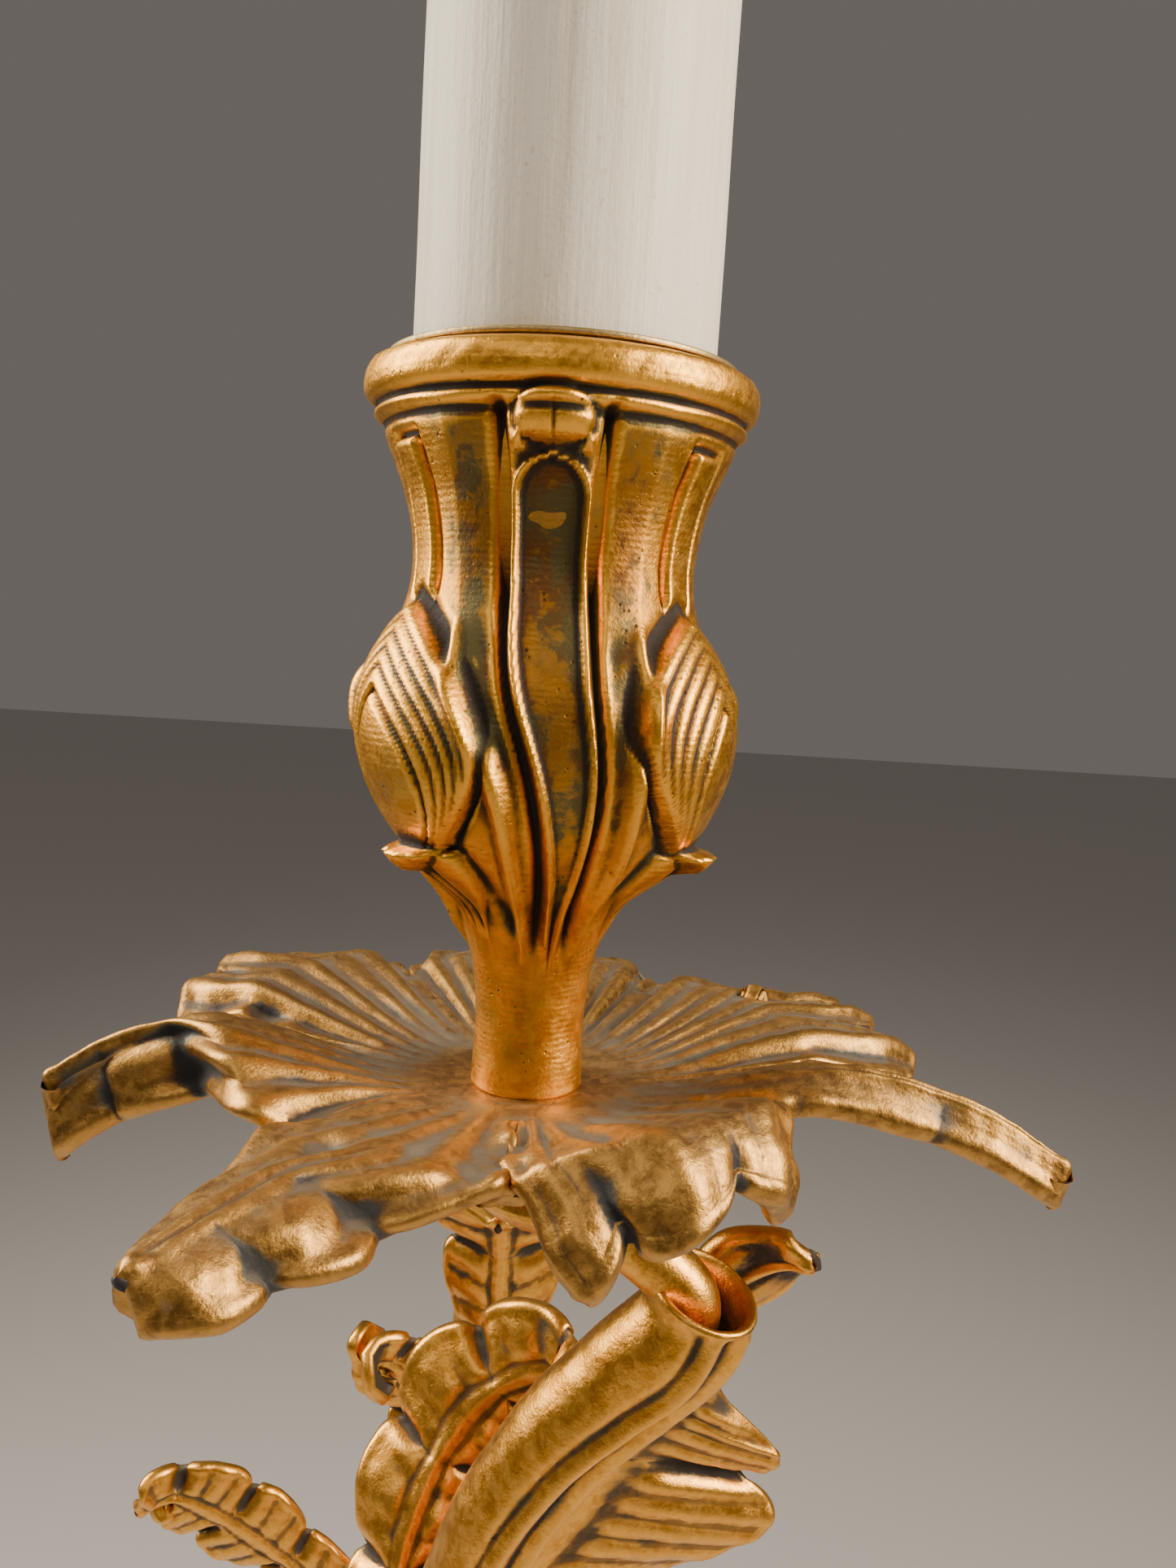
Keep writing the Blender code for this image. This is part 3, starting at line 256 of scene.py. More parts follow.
def ring_grid(angles, heights, radii):
    """Points round the candle's axis, heights down the rows and angles along them, in metres."""
    points = np.empty(radii.shape + (3,))
    points[..., 0] = radii * np.cos(np.radians(angles)) * MM + nozzle_foot.x
    points[..., 1] = radii * np.sin(np.radians(angles)) * MM + nozzle_foot.y
    points[..., 2] = heights * MM + nozzle_foot.z
    return points


def wrapped_faces(rows, columns, first=0):
    """Quads of a grid whose rows close on themselves, facing out when the rows climb and the angle grows."""
    r, c = np.meshgrid(np.arange(rows - 1), np.arange(columns), indexing="ij")
    a = first + r * columns + c
    b = first + r * columns + (c + 1) % columns
    return np.stack([a, b, b + columns, a + columns], axis=-1).reshape(-1, 4).tolist()


def mesh_of(name, points, faces):
    mesh = bpy.data.meshes.new(name)
    mesh.from_pydata(np.asarray(points).reshape(-1, 3).tolist(), [], faces)
    mesh.validate()
    mesh.shade_smooth()
    return mesh


def keep_relief(mesh, near=5, far=40, near_mm=0.05, far_mm=0.35):
    """Stores how far each point stands above (to 1) or below (to 0) what is round it, closely and broadly."""
    count = len(mesh.vertices)
    places = np.empty(count * 3)
    mesh.vertices.foreach_get("co", places)
    places = places.reshape(-1, 3)
    normals = np.empty(count * 3, dtype=np.float32)
    mesh.vertex_normals.foreach_get("vector", normals)
    normals = normals.reshape(-1, 3)
    edges = np.empty(len(mesh.edges) * 2, dtype=np.int32)
    mesh.edges.foreach_get("vertices", edges)
    edges = edges.reshape(-1, 2)
    ends = np.concatenate([edges[:, 0], edges[:, 1]])
    others = np.concatenate([edges[:, 1], edges[:, 0]])
    share = np.maximum(np.bincount(ends, minlength=count), 1)
    smooth = places.copy()
    for turn in range(1, far + 1):
        sums = np.stack([np.bincount(ends, smooth[others, k], count) for k in range(3)], axis=1)
        smooth = 0.35 * smooth + 0.65 * sums / share[:, None]
        if turn in (near, far):
            height = np.einsum("ij,ij->i", places - smooth, normals)
            scale = (near_mm if turn == near else far_mm) * MM
            stored = mesh.attributes.new("edge" if turn == near else "relief", "FLOAT", "POINT")
            stored.data.foreach_set("value", (0.5 + 0.5 * np.tanh(height / scale)).astype(np.float32))


def add_piece(name, mesh, finish, body, slot, *nodes):
    """Puts a finished mesh in the scene on its body, in place of the frame's nodes."""
    made = bpy.data.objects.new(name, mesh)
    made.data.materials.clear()
    made.data.materials.append(finish)
    bpy.context.scene.collection.objects.link(made)
    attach(made, body)
    if nodes:
        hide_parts(*nodes)
    return made


class Wire:
    """A value in a shader. Arithmetic on it adds Math nodes."""

    def __init__(self, shader, socket):
        self.shader = shader
        self.socket = socket

    def maths(self, operation, *values, clamp=False):
        settings = {"operation": operation, "use_clamp": clamp}
        return self.shader.add("ShaderNodeMath", settings, dict(enumerate((self,) + values)))

    def __add__(self, other):
        return self.maths("ADD", other)

    def __sub__(self, other):
        return self.maths("SUBTRACT", other)

    def __rsub__(self, other):
        return self.shader.add("ShaderNodeMath", {"operation": "SUBTRACT"}, {0: other, 1: self})

    def __mul__(self, other):
        return self.maths("MULTIPLY", other)

    def __truediv__(self, other):
        return self.maths("DIVIDE", other)

    __radd__ = __add__
    __rmul__ = __mul__

    def power(self, other):
        return self.maths("POWER", other)

    def held(self):
        """Kept from 0 to 1."""
        return self.maths("ADD", 0.0, clamp=True)

    def step(self, low, high):
        """0 at low, 1 at high, smooth between."""
        settings = {"interpolation_type": "SMOOTHSTEP"}
        sockets = {"Value": self, "From Min": low, "From Max": high}
        return self.shader.add("ShaderNodeMapRange", settings, sockets)


class Shader:
    """A material's nodes."""

    def __init__(self, name):
        self.material = bpy.data.materials.new(name)
        self.material.use_nodes = True
        self.tree = self.material.node_tree
        self.surface = self.tree.nodes["Principled BSDF"]

    def add(self, kind, settings=None, sockets=None, output=0):
        """Adds a node with its settings and its sockets' values or wires; gives the wire of one output."""
        node = self.tree.nodes.new(kind)
        for key, value in (settings or {}).items():
            if key == "stops":
                ramp = node.color_ramp
                while len(ramp.elements) < len(value):
                    ramp.elements.new(0.5)
                for element, (place, colour) in zip(ramp.elements, value):
                    element.position = place
                    element.color = (*colour, 1.0)
            else:
                setattr(node, key, value)
        for key, value in (sockets or {}).items():
            self.join(node.inputs[key], value)
        return Wire(self, node.outputs[output])

    def join(self, socket, value):
        if isinstance(value, Wire):
            self.tree.links.new(value.socket, socket)
        elif isinstance(value, tuple) and len(value) == 3 and socket.type == "RGBA":
            socket.default_value = (*value, 1.0)
        else:
            socket.default_value = value

    def put(self, name, value):
        """Sets or links one of the surface's own sockets."""
        self.join(self.surface.inputs[name], value)

    def place(self, scale=(1, 1, 1)):
        """Place on the piece, in millimetres times scale."""
        here = self.add("ShaderNodeTexCoord", output="Object")
        size = tuple(1000.0 * s for s in scale)
        return self.add("ShaderNodeVectorMath", {"operation": "MULTIPLY"}, {0: here, 1: size})

    def height(self):
        """Height in millimetres above the nozzle's foot."""
        here = self.add("ShaderNodeTexCoord", output="Object")
        z = self.add("ShaderNodeSeparateXYZ", None, {0: here}, "Z")
        return (z - nozzle_foot.z) * 1000.0

    def stored(self, name):
        """A number kept on the mesh's points."""
        return self.add("ShaderNodeAttribute", {"attribute_name": name}, output="Fac")

    def noise(self, place, scale, detail=3.0, roughness=0.55, distortion=0.0):
        return self.add("ShaderNodeTexNoise", None, {
            "Vector": place, "Scale": scale, "Detail": detail, "Roughness": roughness,
            "Distortion": distortion})

    def blend(self, amount, first, second, how="MIX"):
        """A colour between two."""
        settings = {"data_type": "RGBA", "blend_type": how, "clamp_factor": True}
        return self.add("ShaderNodeMix", settings, {0: amount, 6: first, 7: second}, 2)

    def dent(self, height, strength, distance):
        """A surface normal dented by a height from 0 to 1, distance in metres."""
        sockets = {"Height": height, "Strength": strength, "Distance": distance}
        return self.add("ShaderNodeBump", None, sockets)

    def facing(self, axis):
        """How far the surface faces along X, Y or Z, from -1 to 1."""
        normal = self.add("ShaderNodeTexCoord", output="Normal")
        return self.add("ShaderNodeSeparateXYZ", None, {0: normal}, axis)


def gilding(name, bright, deep, brown, hollow, olive, wear=0.5, dust=0.0, pits=0.5, chatter=0.0,
            front_tarnish_and_shade=0.0, crease=0.7, matt_base=0.20, dust_colour=(0.42, 0.33, 0.22)):
    """Fire gilding: bright on ridges, brown and near black in hollows, olive where tarnished; a front amount
    adds painted shade, mixed with tarnish, on faces turned to the front.
    """
    shader = Shader(name)
    place = shader.place()
    relief = shader.stored("relief")
    edge = shader.stored("edge")
    cloud = shader.noise(place, 0.16, 4.0, 0.6)
    mottle = shader.noise(place, 0.75, 5.0, 0.65, 0.6)
    grain = shader.noise(place, 3.6, 3.0, 0.6)
    gold = shader.blend(mottle.step(0.35, 0.68), deep, bright)
    low = (1.0 - relief) + (cloud - 0.5) * 0.9 + (mottle - 0.5) * 0.5
    tarnish = low.step(0.42, 0.80)
    black = ((1.0 - relief) + (mottle - 0.5) * 0.55 + (grain - 0.5) * 0.2).step(0.66, 0.92)
    # Painted shade: faces turned to the front (-Y) above 17 mm are darkened towards the brown and olive. This
    # stands partly for the shade on the front between the two side lights and partly for tarnish; from here
    # tarnish holds this painted shade too.
    if front_tarnish_and_shade:
        up = shader.height()
        front_shade_and_tarnish_mask = (0.0 - shader.facing("Y")).step(0.35, 0.95) * up.step(17, 30) * front_tarnish_and_shade
        tarnish = (tarnish + front_shade_and_tarnish_mask * (0.25 + mottle * 1.1) * (1.15 - edge)).held()
    colour = shader.blend(tarnish, gold, shader.blend(cloud.step(0.42, 0.60), brown, olive))
    colour = shader.blend(black, colour, hollow)
    narrow = ((1.0 - edge) + (grain - 0.5) * 0.25).step(0.62, 0.92)
    colour = shader.blend(narrow * crease, colour, hollow)
    ridge = (edge + (mottle - 0.5) * 0.5).step(0.60, 0.88)
    colour = shader.blend(ridge * wear, colour, bright)
    specks = shader.add("ShaderNodeTexVoronoi", {"feature": "F1"}, {
        "Vector": place, "Scale": 1.35, "Randomness": 1.0})
    chance = shader.noise(place, 0.55, 2.0).step(0.50, 0.66)
    pitted = (specks + (grain - 0.5) * 0.22).step(0.24, 0.10) * chance * pits
    colour = shader.blend(pitted, colour, hollow)
    matt = tarnish * 0.10 + black * 0.22 + pitted * 0.2 + (grain - 0.5) * 0.22 + mottle * 0.16
    matt = matt + narrow * 0.15 + matt_base
    metal = 1.0 - (black * 0.55 + tarnish * 0.22 + narrow * 0.3)
    if dust:
        lying = shader.facing("Z").step(0.55, 0.98) * (0.35 + cloud * 0.9) * (1.25 - relief) * dust
        colour = shader.blend(lying.held(), colour, dust_colour)
        matt = matt + lying * 0.35
        metal = metal - lying * 0.55
    shader.put("Base Color", colour)
    shader.put("Roughness", matt.held())
    shader.put("Metallic", metal.held())
    rough = grain * 0.6 + mottle * 0.4 - pitted * 0.9
    if chatter:
        lines = shader.add("ShaderNodeTexWave", {"wave_type": "BANDS", "bands_direction": "Z"}, {
            "Vector": place, "Scale": 0.62, "Distortion": 2.2, "Detail": 2.0, "Detail Scale": 1.6})
        rough = rough + lines * chatter
    shader.put("Normal", shader.dent(rough, 0.35, 0.00022))
    return shader.material


# The front amount of 1.5 paints shade, mixed with tarnish, on the nozzle's faces turned to the front.
nozzle_gilding = gilding("nozzle_gilding", (1.0, 0.50, 0.055), (0.74, 0.31, 0.02), (0.16, 0.060, 0.012),
                         (0.020, 0.011, 0.006), (0.13, 0.10, 0.035), wear=0.75, pits=0.8, chatter=0.10,
                         front_tarnish_and_shade=1.5, crease=0.85, matt_base=0.27)

ANGLES, ROWS = 384, 216
angles, heights = np.meshgrid(np.arange(ANGLES) * 360 / ANGLES, np.linspace(0, NOZZLE_HEIGHT, ROWS))
radii = along(NOZZLE_PROFILE, heights)
below_rim = step(55.4, 54.7, heights)
radii = radii + nozzle_relief(angles, heights) * below_rim
x, y = radii * np.cos(np.radians(angles)), radii * np.sin(np.radians(angles))
radii = radii + 0.05 * unevenness(x, y, heights, 9.0)
radii = radii + 0.07 * unevenness(x, y, heights, 5.0, 2.0) * step(54.5, 56, heights)
outer = ring_grid(angles, heights, radii)
cup_floor, bore = (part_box("liner")[0][2] - nozzle_foot.z) / MM - 0.35, 2.8
inside_shape = ((58.0, 14.0), (57.8, 13.4), (57.3, 13.15), (cup_floor, 9.0), (cup_floor - 0.2, bore),
                (8.3, bore), (0.3, bore), (0.0, bore + 0.3))
inner_columns = angles[: len(inside_shape)]
inner = ring_grid(inner_columns, np.array([[z] for z, _ in inside_shape]) + 0 * inner_columns,
                  np.array([[r] for _, r in inside_shape]) + 0 * inner_columns)
points = np.concatenate([outer.reshape(-1, 3), inner.reshape(-1, 3)])
faces = wrapped_faces(ROWS + len(inside_shape), ANGLES)
last = (ROWS + len(inside_shape) - 1) * ANGLES
faces += [(last + i, last + (i + 1) % ANGLES, (i + 1) % ANGLES, i) for i in range(ANGLES)]
nozzle_mesh = mesh_of("nozzle", points, faces)
keep_relief(nozzle_mesh, near_mm=0.05, far_mm=0.30)
add_piece("nozzle_chased", nozzle_mesh, nozzle_gilding, "nozzle", "gilt_bright", "nozzle")


# ---------------------------------------------------------------- drip pan
# One bronze casting of seven leaves round a smooth hub, pierced for the nozzle's stud. Its leaves arch up
# and roll over at their tips, ribs fan out along them, and the thick edges are rounded. The gilding has
# worn to coppery bronze on the edges; dust lies round the hub, and green and grey have gathered in the
# hollows.

PAN_DISH = 1.0
PAN_THICK = 1.8
PAN_BORE = 2.8
# Each leaf: angle, half width, length, arch, droop in degrees, how soon it bends, fall of the sides, the
# notches across its end with the lengths of the lobes between them, and the scallops down its two sides
PAN_LEAVES = (
    (-3, 2.9, 48.5, 2.6, 42, 1.3, 1.2, (), (), (2, 0)),
    (31, 10.0, 40.5, 2.4, 42, 1.8, 1.2, (0.30, 0.52, 0.72), (1.0, 0.90, 0.82, 0.74), ()),
    (92, 13.0, 38.5, 2.0, 32, 1.6, 1.2, (0.22, 0.42, 0.60, 0.80), (0.76, 0.82, 0.92, 1.0, 0.92), ()),
    (145, 9.5, 40.5, 3.0, 32, 1.5, 1.6, (0.34, 0.68), (1.0, 1.0, 0.88), ()),
    (180, 2.3, 43.5, 3.4, 46, 1.1, 1.0, (), (), (0, 3)),
    (234, 7.8, 39.2, 0.8, 17, 1.3, 2.2, (), (), (1, 3)),
    (308, 10.4, 28.5, 3.4, 92, 0.6, 1.2, (0.16, 0.62), (0.72, 1.0, 0.88), ()),
)
# The notches between them, each after the leaf of the same place above: angle, distance from the axis and
# height
PAN_NOTCHES = ((9, 25.0, 0.6), (66, 28.0, 0.6), (118, 31.0, 0.0), (163, 28.0, 0.0), (209, 22.4, -1.4),
               (270, 18.0, -1.6), (345, 22.0, 0.4))
# Each leaf's ribs (on each lobe, or on the whole leaf where it has none), how far they fan out to its
# sides, how boldly they stand and how deep its central line is
PAN_RIBS = (
    (3, 0.3, 0.30, 0.35), (2, 0.0, 1.05, 0.0), (2, 0.0, 0.90, 0.0), (2, 0.0, 0.85, 0.0), (6, 0.55, 0.80, 0.0),
    (5, 0.3, 0.50, 0.45), (2, 0.0, 0.50, 0.0),
)
PAN_EYES = ((-14.0, -16.0, 1.5, 1.5), (22.5, -5.5, 0.9, 1.3), (11.0, 24.0, 0.9, 1.5), (-14.0, 25.0, 0.9, 1.5),
            (-25.0, 8.5, 1.0, 1.5))  # dark pits at the roots of the notches: place, depth and width


def smooth_stops(stops, x):
    """Values at x on a smooth line through (x, value) stops, level at each stop."""
    result = np.full(np.shape(x), float(stops[0][1]))
    for (x0, v0), (x1, v1) in zip(stops, stops[1:]):
        k = np.clip((x - x0) / (x1 - x0), 0, 1)
        result = result + (v1 - v0) * k * k * (3 - 2 * k)
    return result


def heading(angle):
    """The level direction at an angle in degrees, for one angle or an array of them."""
    angle = np.radians(np.asarray(angle, float))
    return np.stack([np.cos(angle), np.sin(angle), np.zeros_like(angle)], axis=-1)


def lobe_number(k, notches):
    """How many lobes lie before k, in parts of a lobe, with notches at the given places from 0 to 1."""
    places = (0.0,) + notches + (1.0,)
    return np.interp(k, places, np.arange(len(places)))


def pan_leaf_grid(place, us, ss):
    """Points of one leaf's upper face in millimetres from the hub; u across from -1 to 1, s 0 to 1 to 2."""
    angle, half_width, reach, arch, droop, soon, fall, notches, ends, sides = PAN_LEAVES[place]
    before, after = PAN_NOTCHES[place - 1], PAN_NOTCHES[place]
    first = angle + (before[0] - angle + 180) % 360 - 180
    last = angle + (after[0] - angle + 180) % 360 - 180
    u, s = np.meshgrid(us, ss)
    k, t = (u + 1) / 2, np.maximum(s - 1.0, 0.0)
    end = before[1] * (1 - k) + after[1] * k
    axis, side = heading(angle), heading(angle + 90)
    radial = heading(first * (1 - k) + last * k)
    r = PAN_BORE + (end - PAN_BORE) * np.minimum(s, 1.0)
    flat = radial * r[..., None]
    plateau = 1 - u ** 4 if notches else 1 - u * u
    lift = PAN_DISH * (r / 30) ** 2 + arch * plateau * smooth_stops(((0.35, 0.0), (1.1, 1.0)), s)
    lift = lift + (before[2] * (1 - k) ** 3 + after[2] * k ** 3) * smooth_stops(((0.4, 0.0), (1.0, 1.0)), s)
    rim = radial * end[..., None]
    start, start_across = rim @ axis, rim @ side
    settle = smooth_stops(((0.0, 0.0), (0.45 if notches else 0.32, 1.0)), t)
    if notches:
        shape = smooth_stops(((0.0, 1.0), (0.5, 1.04), (1.0, 0.86)), t)
        number = lobe_number(k, notches)
        which = np.clip(number.astype(int), 0, len(ends) - 1)
        arc = np.maximum(np.sin(math.pi * (number - which)), 0) ** 0.38
        low = [min(pair) * 0.68 for pair in zip(ends[:1] + ends, ends + ends[-1:])]
        root = np.interp(number, np.arange(len(low)), low)
        length = root + (np.array(ends)[which] - root) * arc
    else:
        taper = smooth_stops(((0.0, 1.0), (0.4, 0.97), (0.85, 0.66), (1.0, 0.50)), t)
        count = np.where(u < 0, sides[0], sides[1])
        scallops = 1 - 0.24 * (1 - np.sqrt(np.abs(np.sin(math.pi * t * count)))) * (count > 0) * (t < 0.97)
        shape = taper * scallops * np.sqrt(np.clip(1 - ((t - 0.78) / 0.22).clip(0, 1) ** 2, 0.02, 1))
        length = 1 - 0.03 * u * u
    travel = t * (reach - start) * length
    across = start_across * (1 - settle) + u * half_width * shape * settle
    out, up, steps = start.copy(), np.zeros(u.shape), 14
    for i in range(steps):
        bent = np.clip(((i + 0.5) / steps) * travel / (reach - start), 0, 1)
        slope = -np.radians(droop) * bent ** soon
        out = out + np.cos(slope) * travel / steps
        up = up + np.sin(slope) * travel / steps
    up = up - fall * u * u * smooth_stops(((0.0, 0.0), (0.4, 1.0)), t)
    blade = axis * out[..., None] + side * across[..., None]
    points = np.where((s > 1.0)[..., None], blade, flat)
    points[..., 2] = lift + np.where(s > 1.0, up, 0.0)
    return points


def open_faces(rows, columns, first=0):
    """Quads of a grid, facing up when its columns run left to right and its rows away."""
    r, c = np.meshgrid(np.arange(rows - 1), np.arange(columns - 1), indexing="ij")
    a = first + r * columns + c
    return np.stack([a, a + 1, a + columns + 1, a + columns], axis=-1).reshape(-1, 4)


def weld(points, faces):
    """Joins points that lie together; gives the points, the faces on them and which old points were kept."""
    keys = np.round(points / 1e-4).astype(np.int64)
    _, first, renamed = np.unique(keys, axis=0, return_index=True, return_inverse=True)
    faces = renamed.reshape(-1)[faces]
    whole = [len(set(face)) == 4 for face in faces.tolist()]
    return points[first], faces[whole], first


def sheet_normals(points, faces):
    corner = points[faces]
    lean = np.cross(corner[:, 2] - corner[:, 0], corner[:, 3] - corner[:, 1])
    total = np.stack([
        np.bincount(faces.ravel(), np.repeat(lean[:, k], 4), len(points)) for k in range(3)], axis=1)
    return total / np.maximum(np.linalg.norm(total, axis=1, keepdims=True), 1e-12)


def free_edges(faces):
    sides = np.concatenate([faces[:, [i, (i + 1) % 4]] for i in range(4)])
    _, place, times = np.unique(np.sort(sides, axis=1), axis=0, return_index=True, return_counts=True)
    return sides[place[times == 1]]


def edge_distance(points, faces, widest):
    """Each point's distance from the sheet's free edge, up to widest, stepping along the sheet."""
    corners = ([0, 1], [1, 2], [2, 3], [3, 0], [0, 2], [1, 3])
    lines = np.unique(np.sort(np.concatenate([faces[:, pair] for pair in corners]), axis=1), axis=0)
    distance = np.full(len(points), float(widest))
    distance[np.unique(free_edges(faces))] = 0.0
    length = np.linalg.norm(points[lines[:, 0]] - points[lines[:, 1]], axis=1)
    for _ in range(16):
        for a, b in ((0, 1), (1, 0)):
            np.minimum.at(distance, lines[:, a], distance[lines[:, b]] + length)
    return distance


def rounded_sheet(points, faces, relief, thickness, roundness, bead=0.0):
    """A closed casting from a sheet: relief on its front, a smooth back and a thick, rounded edge."""
    normals = sheet_normals(points, faces)
    away = edge_distance(points, faces, roundness * 2.0)
    rounding = np.sqrt(np.clip(1 - (1 - np.clip(away / roundness, 0, 1)) ** 2, 0.02, 1))
    half = thickness / 2 * (1 + bead * bump(away, roundness, roundness * 0.8)) * rounding
    shown = np.clip(away / (roundness * 1.3), 0, 1)
    middle = points - normals * thickness / 2
    middle = middle + normals * (relief * (1 - shown) * 0.6)[:, None]
    front = middle + normals * (half + relief * shown)[:, None]
    back = middle - normals * half[:, None]
    count = len(points)
    rim = free_edges(faces)
    walls = np.stack([rim[:, 1], rim[:, 0], rim[:, 0] + count, rim[:, 1] + count], axis=1)
    whole = np.concatenate([faces, faces[:, ::-1] + count, walls])
    return np.concatenate([front, back]), whole.tolist()


def pan_relief(place, points, us, ss):
    """The chased ribs, notches and central line of one leaf, in millimetres above its smooth face."""
    notches, sides = PAN_LEAVES[place][7], PAN_LEAVES[place][9]
    ribs, spread, bold, furrow = PAN_RIBS[place]
    u, s = np.meshgrid(us, ss)
    k, t = (u + 1) / 2, np.maximum(s - 1.0, 0.0)
    reach_in = smooth_stops(((0.22, 0.0), (0.70, 1.0), (1.7, 0.9), (2.0, 0.5)), s)
    if notches:
        number = lobe_number(k, notches)
        crest = np.abs(np.cos(math.pi * (number - 0.5) * ribs)) ** 1.6
        between_lobes = np.minimum(number - np.floor(number), np.ceil(number) - number)
        cleft = bump(between_lobes, 0.0, 0.13) * ((number > 0.3) & (number < len(notches) + 0.7))
        relief = bold * (crest - 0.45) * reach_in
        relief -= 0.95 * cleft * smooth_stops(((0.55, 0.0), (1.1, 0.5), (1.9, 1.0)), s)
        swell = np.sin(math.pi * (number - np.floor(number)))
        relief += 0.55 * swell * smooth_stops(((1.0, 0.0), (1.7, 1.0)), s)
    else:
        fan = u * (1 - spread * smooth_stops(((0.3, 0.0), (2.0, 1.0)), s))
        crest = np.abs(np.cos(math.pi * fan * ribs / 2)) ** 1.6
        relief = bold * (crest - 0.45) * reach_in * (1 - 0.5 * smooth_stops(((1.3, 0.0), (1.8, 1.0)), s))
        for sign, count in ((-1, sides[0]), (1, sides[1])):
            if count:
                dip = 1 - np.sqrt(np.abs(np.sin(math.pi * np.clip(t, 0, 0.985) * count)))
                relief -= 0.7 * dip * np.clip(u * sign, 0, 1) ** 1.2 * (s > 1.0) * (t > 0.5 / count)
    relief -= furrow * bump(u, 0, 0.05) * smooth_stops(((0.8, 0.0), (1.2, 1.0), (1.8, 1.0), (1.97, 0.0)), s)
    beside = smooth_stops(((0.8, 0.0), (1.2, 1.0), (1.9, 0.0)), s)
    relief += furrow * 0.5 * bump(np.abs(u), 0.16, 0.07) * beside
    for x, y, depth, width in PAN_EYES:
        relief -= depth * np.exp(-((points[..., 0] - x) ** 2 + (points[..., 1] - y) ** 2) / width ** 2)
    return relief


PAN_COLUMNS, HUB_ROWS, BLADE_ROWS = 57, 26, 50
x = np.linspace(-1, 1, PAN_COLUMNS)
us = -(0.55 * x + 0.45 * np.sin(x * math.pi / 2))
x = np.linspace(0, 1, BLADE_ROWS + 1)[1:]
ss = np.concatenate([np.linspace(0, 1, HUB_ROWS + 1), 1 + 0.5 * x + 0.5 * np.sin(x * math.pi / 2)])
sheet_points, sheet_relief, sheet_faces = [], [], []
for place in range(len(PAN_LEAVES)):
    leaf_points = pan_leaf_grid(place, us, ss)
    sheet_faces.append(open_faces(len(ss), PAN_COLUMNS, place * len(ss) * PAN_COLUMNS))
    sheet_points.append(leaf_points.reshape(-1, 3))
    sheet_relief.append(pan_relief(place, leaf_points, us, ss).reshape(-1))
points, faces, kept = weld(np.concatenate(sheet_points), np.concatenate(sheet_faces))
far_out = step(8, 15, np.hypot(points[:, 0], points[:, 1]))
lift = np.concatenate(sheet_relief)[kept] + far_out * (
    0.16 * unevenness(points[:, 0], points[:, 1], points[:, 2], 11.0, 1.0)
    + 0.07 * unevenness(points[:, 0], points[:, 1], points[:, 2], 3.2, 4.0))
strand = (266, 7.5, 17.5)
along_strand = points @ heading(strand[0])
across_strand = points @ heading(strand[0] + 90)
knobs = 0.9 + 0.35 * np.sin(along_strand * 2.1)
lift += knobs * bump(across_strand + 0.6 * np.sin(along_strand * 0.7), 0.8, 1.0) * step(8, 12, along_strand)
pan_points, pan_faces = rounded_sheet(points, faces, lift, PAN_THICK, 1.25, 0.35)
hub = np.array([candle_axis.x, candle_axis.y, nozzle_foot.z - 0.0003])
pan_mesh = mesh_of("pan", pan_points * MM + hub, pan_faces)
keep_relief(pan_mesh, near_mm=0.07, far_mm=0.40)
pan_gilding = gilding("pan_gilding", (0.58, 0.31, 0.075), (0.27, 0.135, 0.032), (0.11, 0.055, 0.022),
                      (0.026, 0.024, 0.023), (0.10, 0.11, 0.095), wear=0.6, pits=0.25, dust=0.55, crease=0.6,
                      matt_base=0.32, dust_colour=(0.26, 0.19, 0.115))
add_piece("pan_chased", pan_mesh, pan_gilding, "drip_pan", "gilt_worn", "drip_pan")


# ---------------------------------------------------------------- liner
# A thin spun-brass cup that hangs by its rolled lip on the nozzle's rim and keeps wax off the gilding. It
# lifts out. Only its lip shows; it has gone dark with old wax.


def turned_mesh(name, profile, columns=96, centre=None, wobble=0.0):
    """A solid turned about the candle's axis from (radius, height) millimetres, closed on the axis."""
    centre = nozzle_foot if centre is None else centre
    profile = np.array(profile, float)
    angles = np.arange(columns) * 2 * math.pi / columns
    radii = np.maximum(profile[:, :1], 0.02) + wobble * np.sin(3 * angles + 0.3 * profile[:, 1:]) * (
        profile[:, :1] > 1.0)
    points = np.empty((len(profile), columns, 3))
    points[..., 0] = radii * np.cos(angles) * MM + centre.x
    points[..., 1] = radii * np.sin(angles) * MM + centre.y
    points[..., 2] = profile[:, 1:] * MM + centre.z
    faces = wrapped_faces(len(profile), columns)
    faces = [face[::-1] for face in faces]
    last = (len(profile) - 1) * columns
    faces += [list(range(columns)), list(range(last + columns - 1, last - 1, -1))]
    return mesh_of(name, points, faces)


def rounded_profile(profile, radius=0.25, parts=4):
    """Rounds the corners of a (radius, height) outline; the two on the axis stay."""
    result = [tuple(profile[0])]
    for before, here, after in zip(profile, profile[1:], profile[2:]):
        before, here, after = np.array(before, float), np.array(here, float), np.array(after, float)
        one, two = before - here, after - here
        reach = min(radius, np.linalg.norm(one) * 0.45, np.linalg.norm(two) * 0.45)
        start, end = here + one / np.linalg.norm(one) * reach, here + two / np.linalg.norm(two) * reach
        for k in range(parts + 1):
            t = k / parts
            result.append(tuple(start * (1 - t) ** 2 + here * 2 * t * (1 - t) + end * t * t))
    result.append(tuple(profile[-1]))
    return result


def metal(name, colour, shade, roughness=0.45, grime=0.5):
    """Plain metal with cloudy tarnish and fine scratches."""
    shader = Shader(name)
    place = shader.place()
    cloud = shader.noise(place, 0.35, 4.0, 0.6)
    grain = shader.noise(place, 3.0, 4.0, 0.6)
    dark = (cloud + (grain - 0.5) * 0.3).step(0.42, 0.72) * grime
    shader.put("Base Color", shader.blend(dark.held(), colour, shade))
    shader.put("Metallic", (1.0 - dark * 0.45).held())
    shader.put("Roughness", (dark * 0.25 + (grain - 0.5) * 0.2 + roughness).held())
    shader.put("Normal", shader.dent(grain, 0.3, 0.00015))
    return shader.material


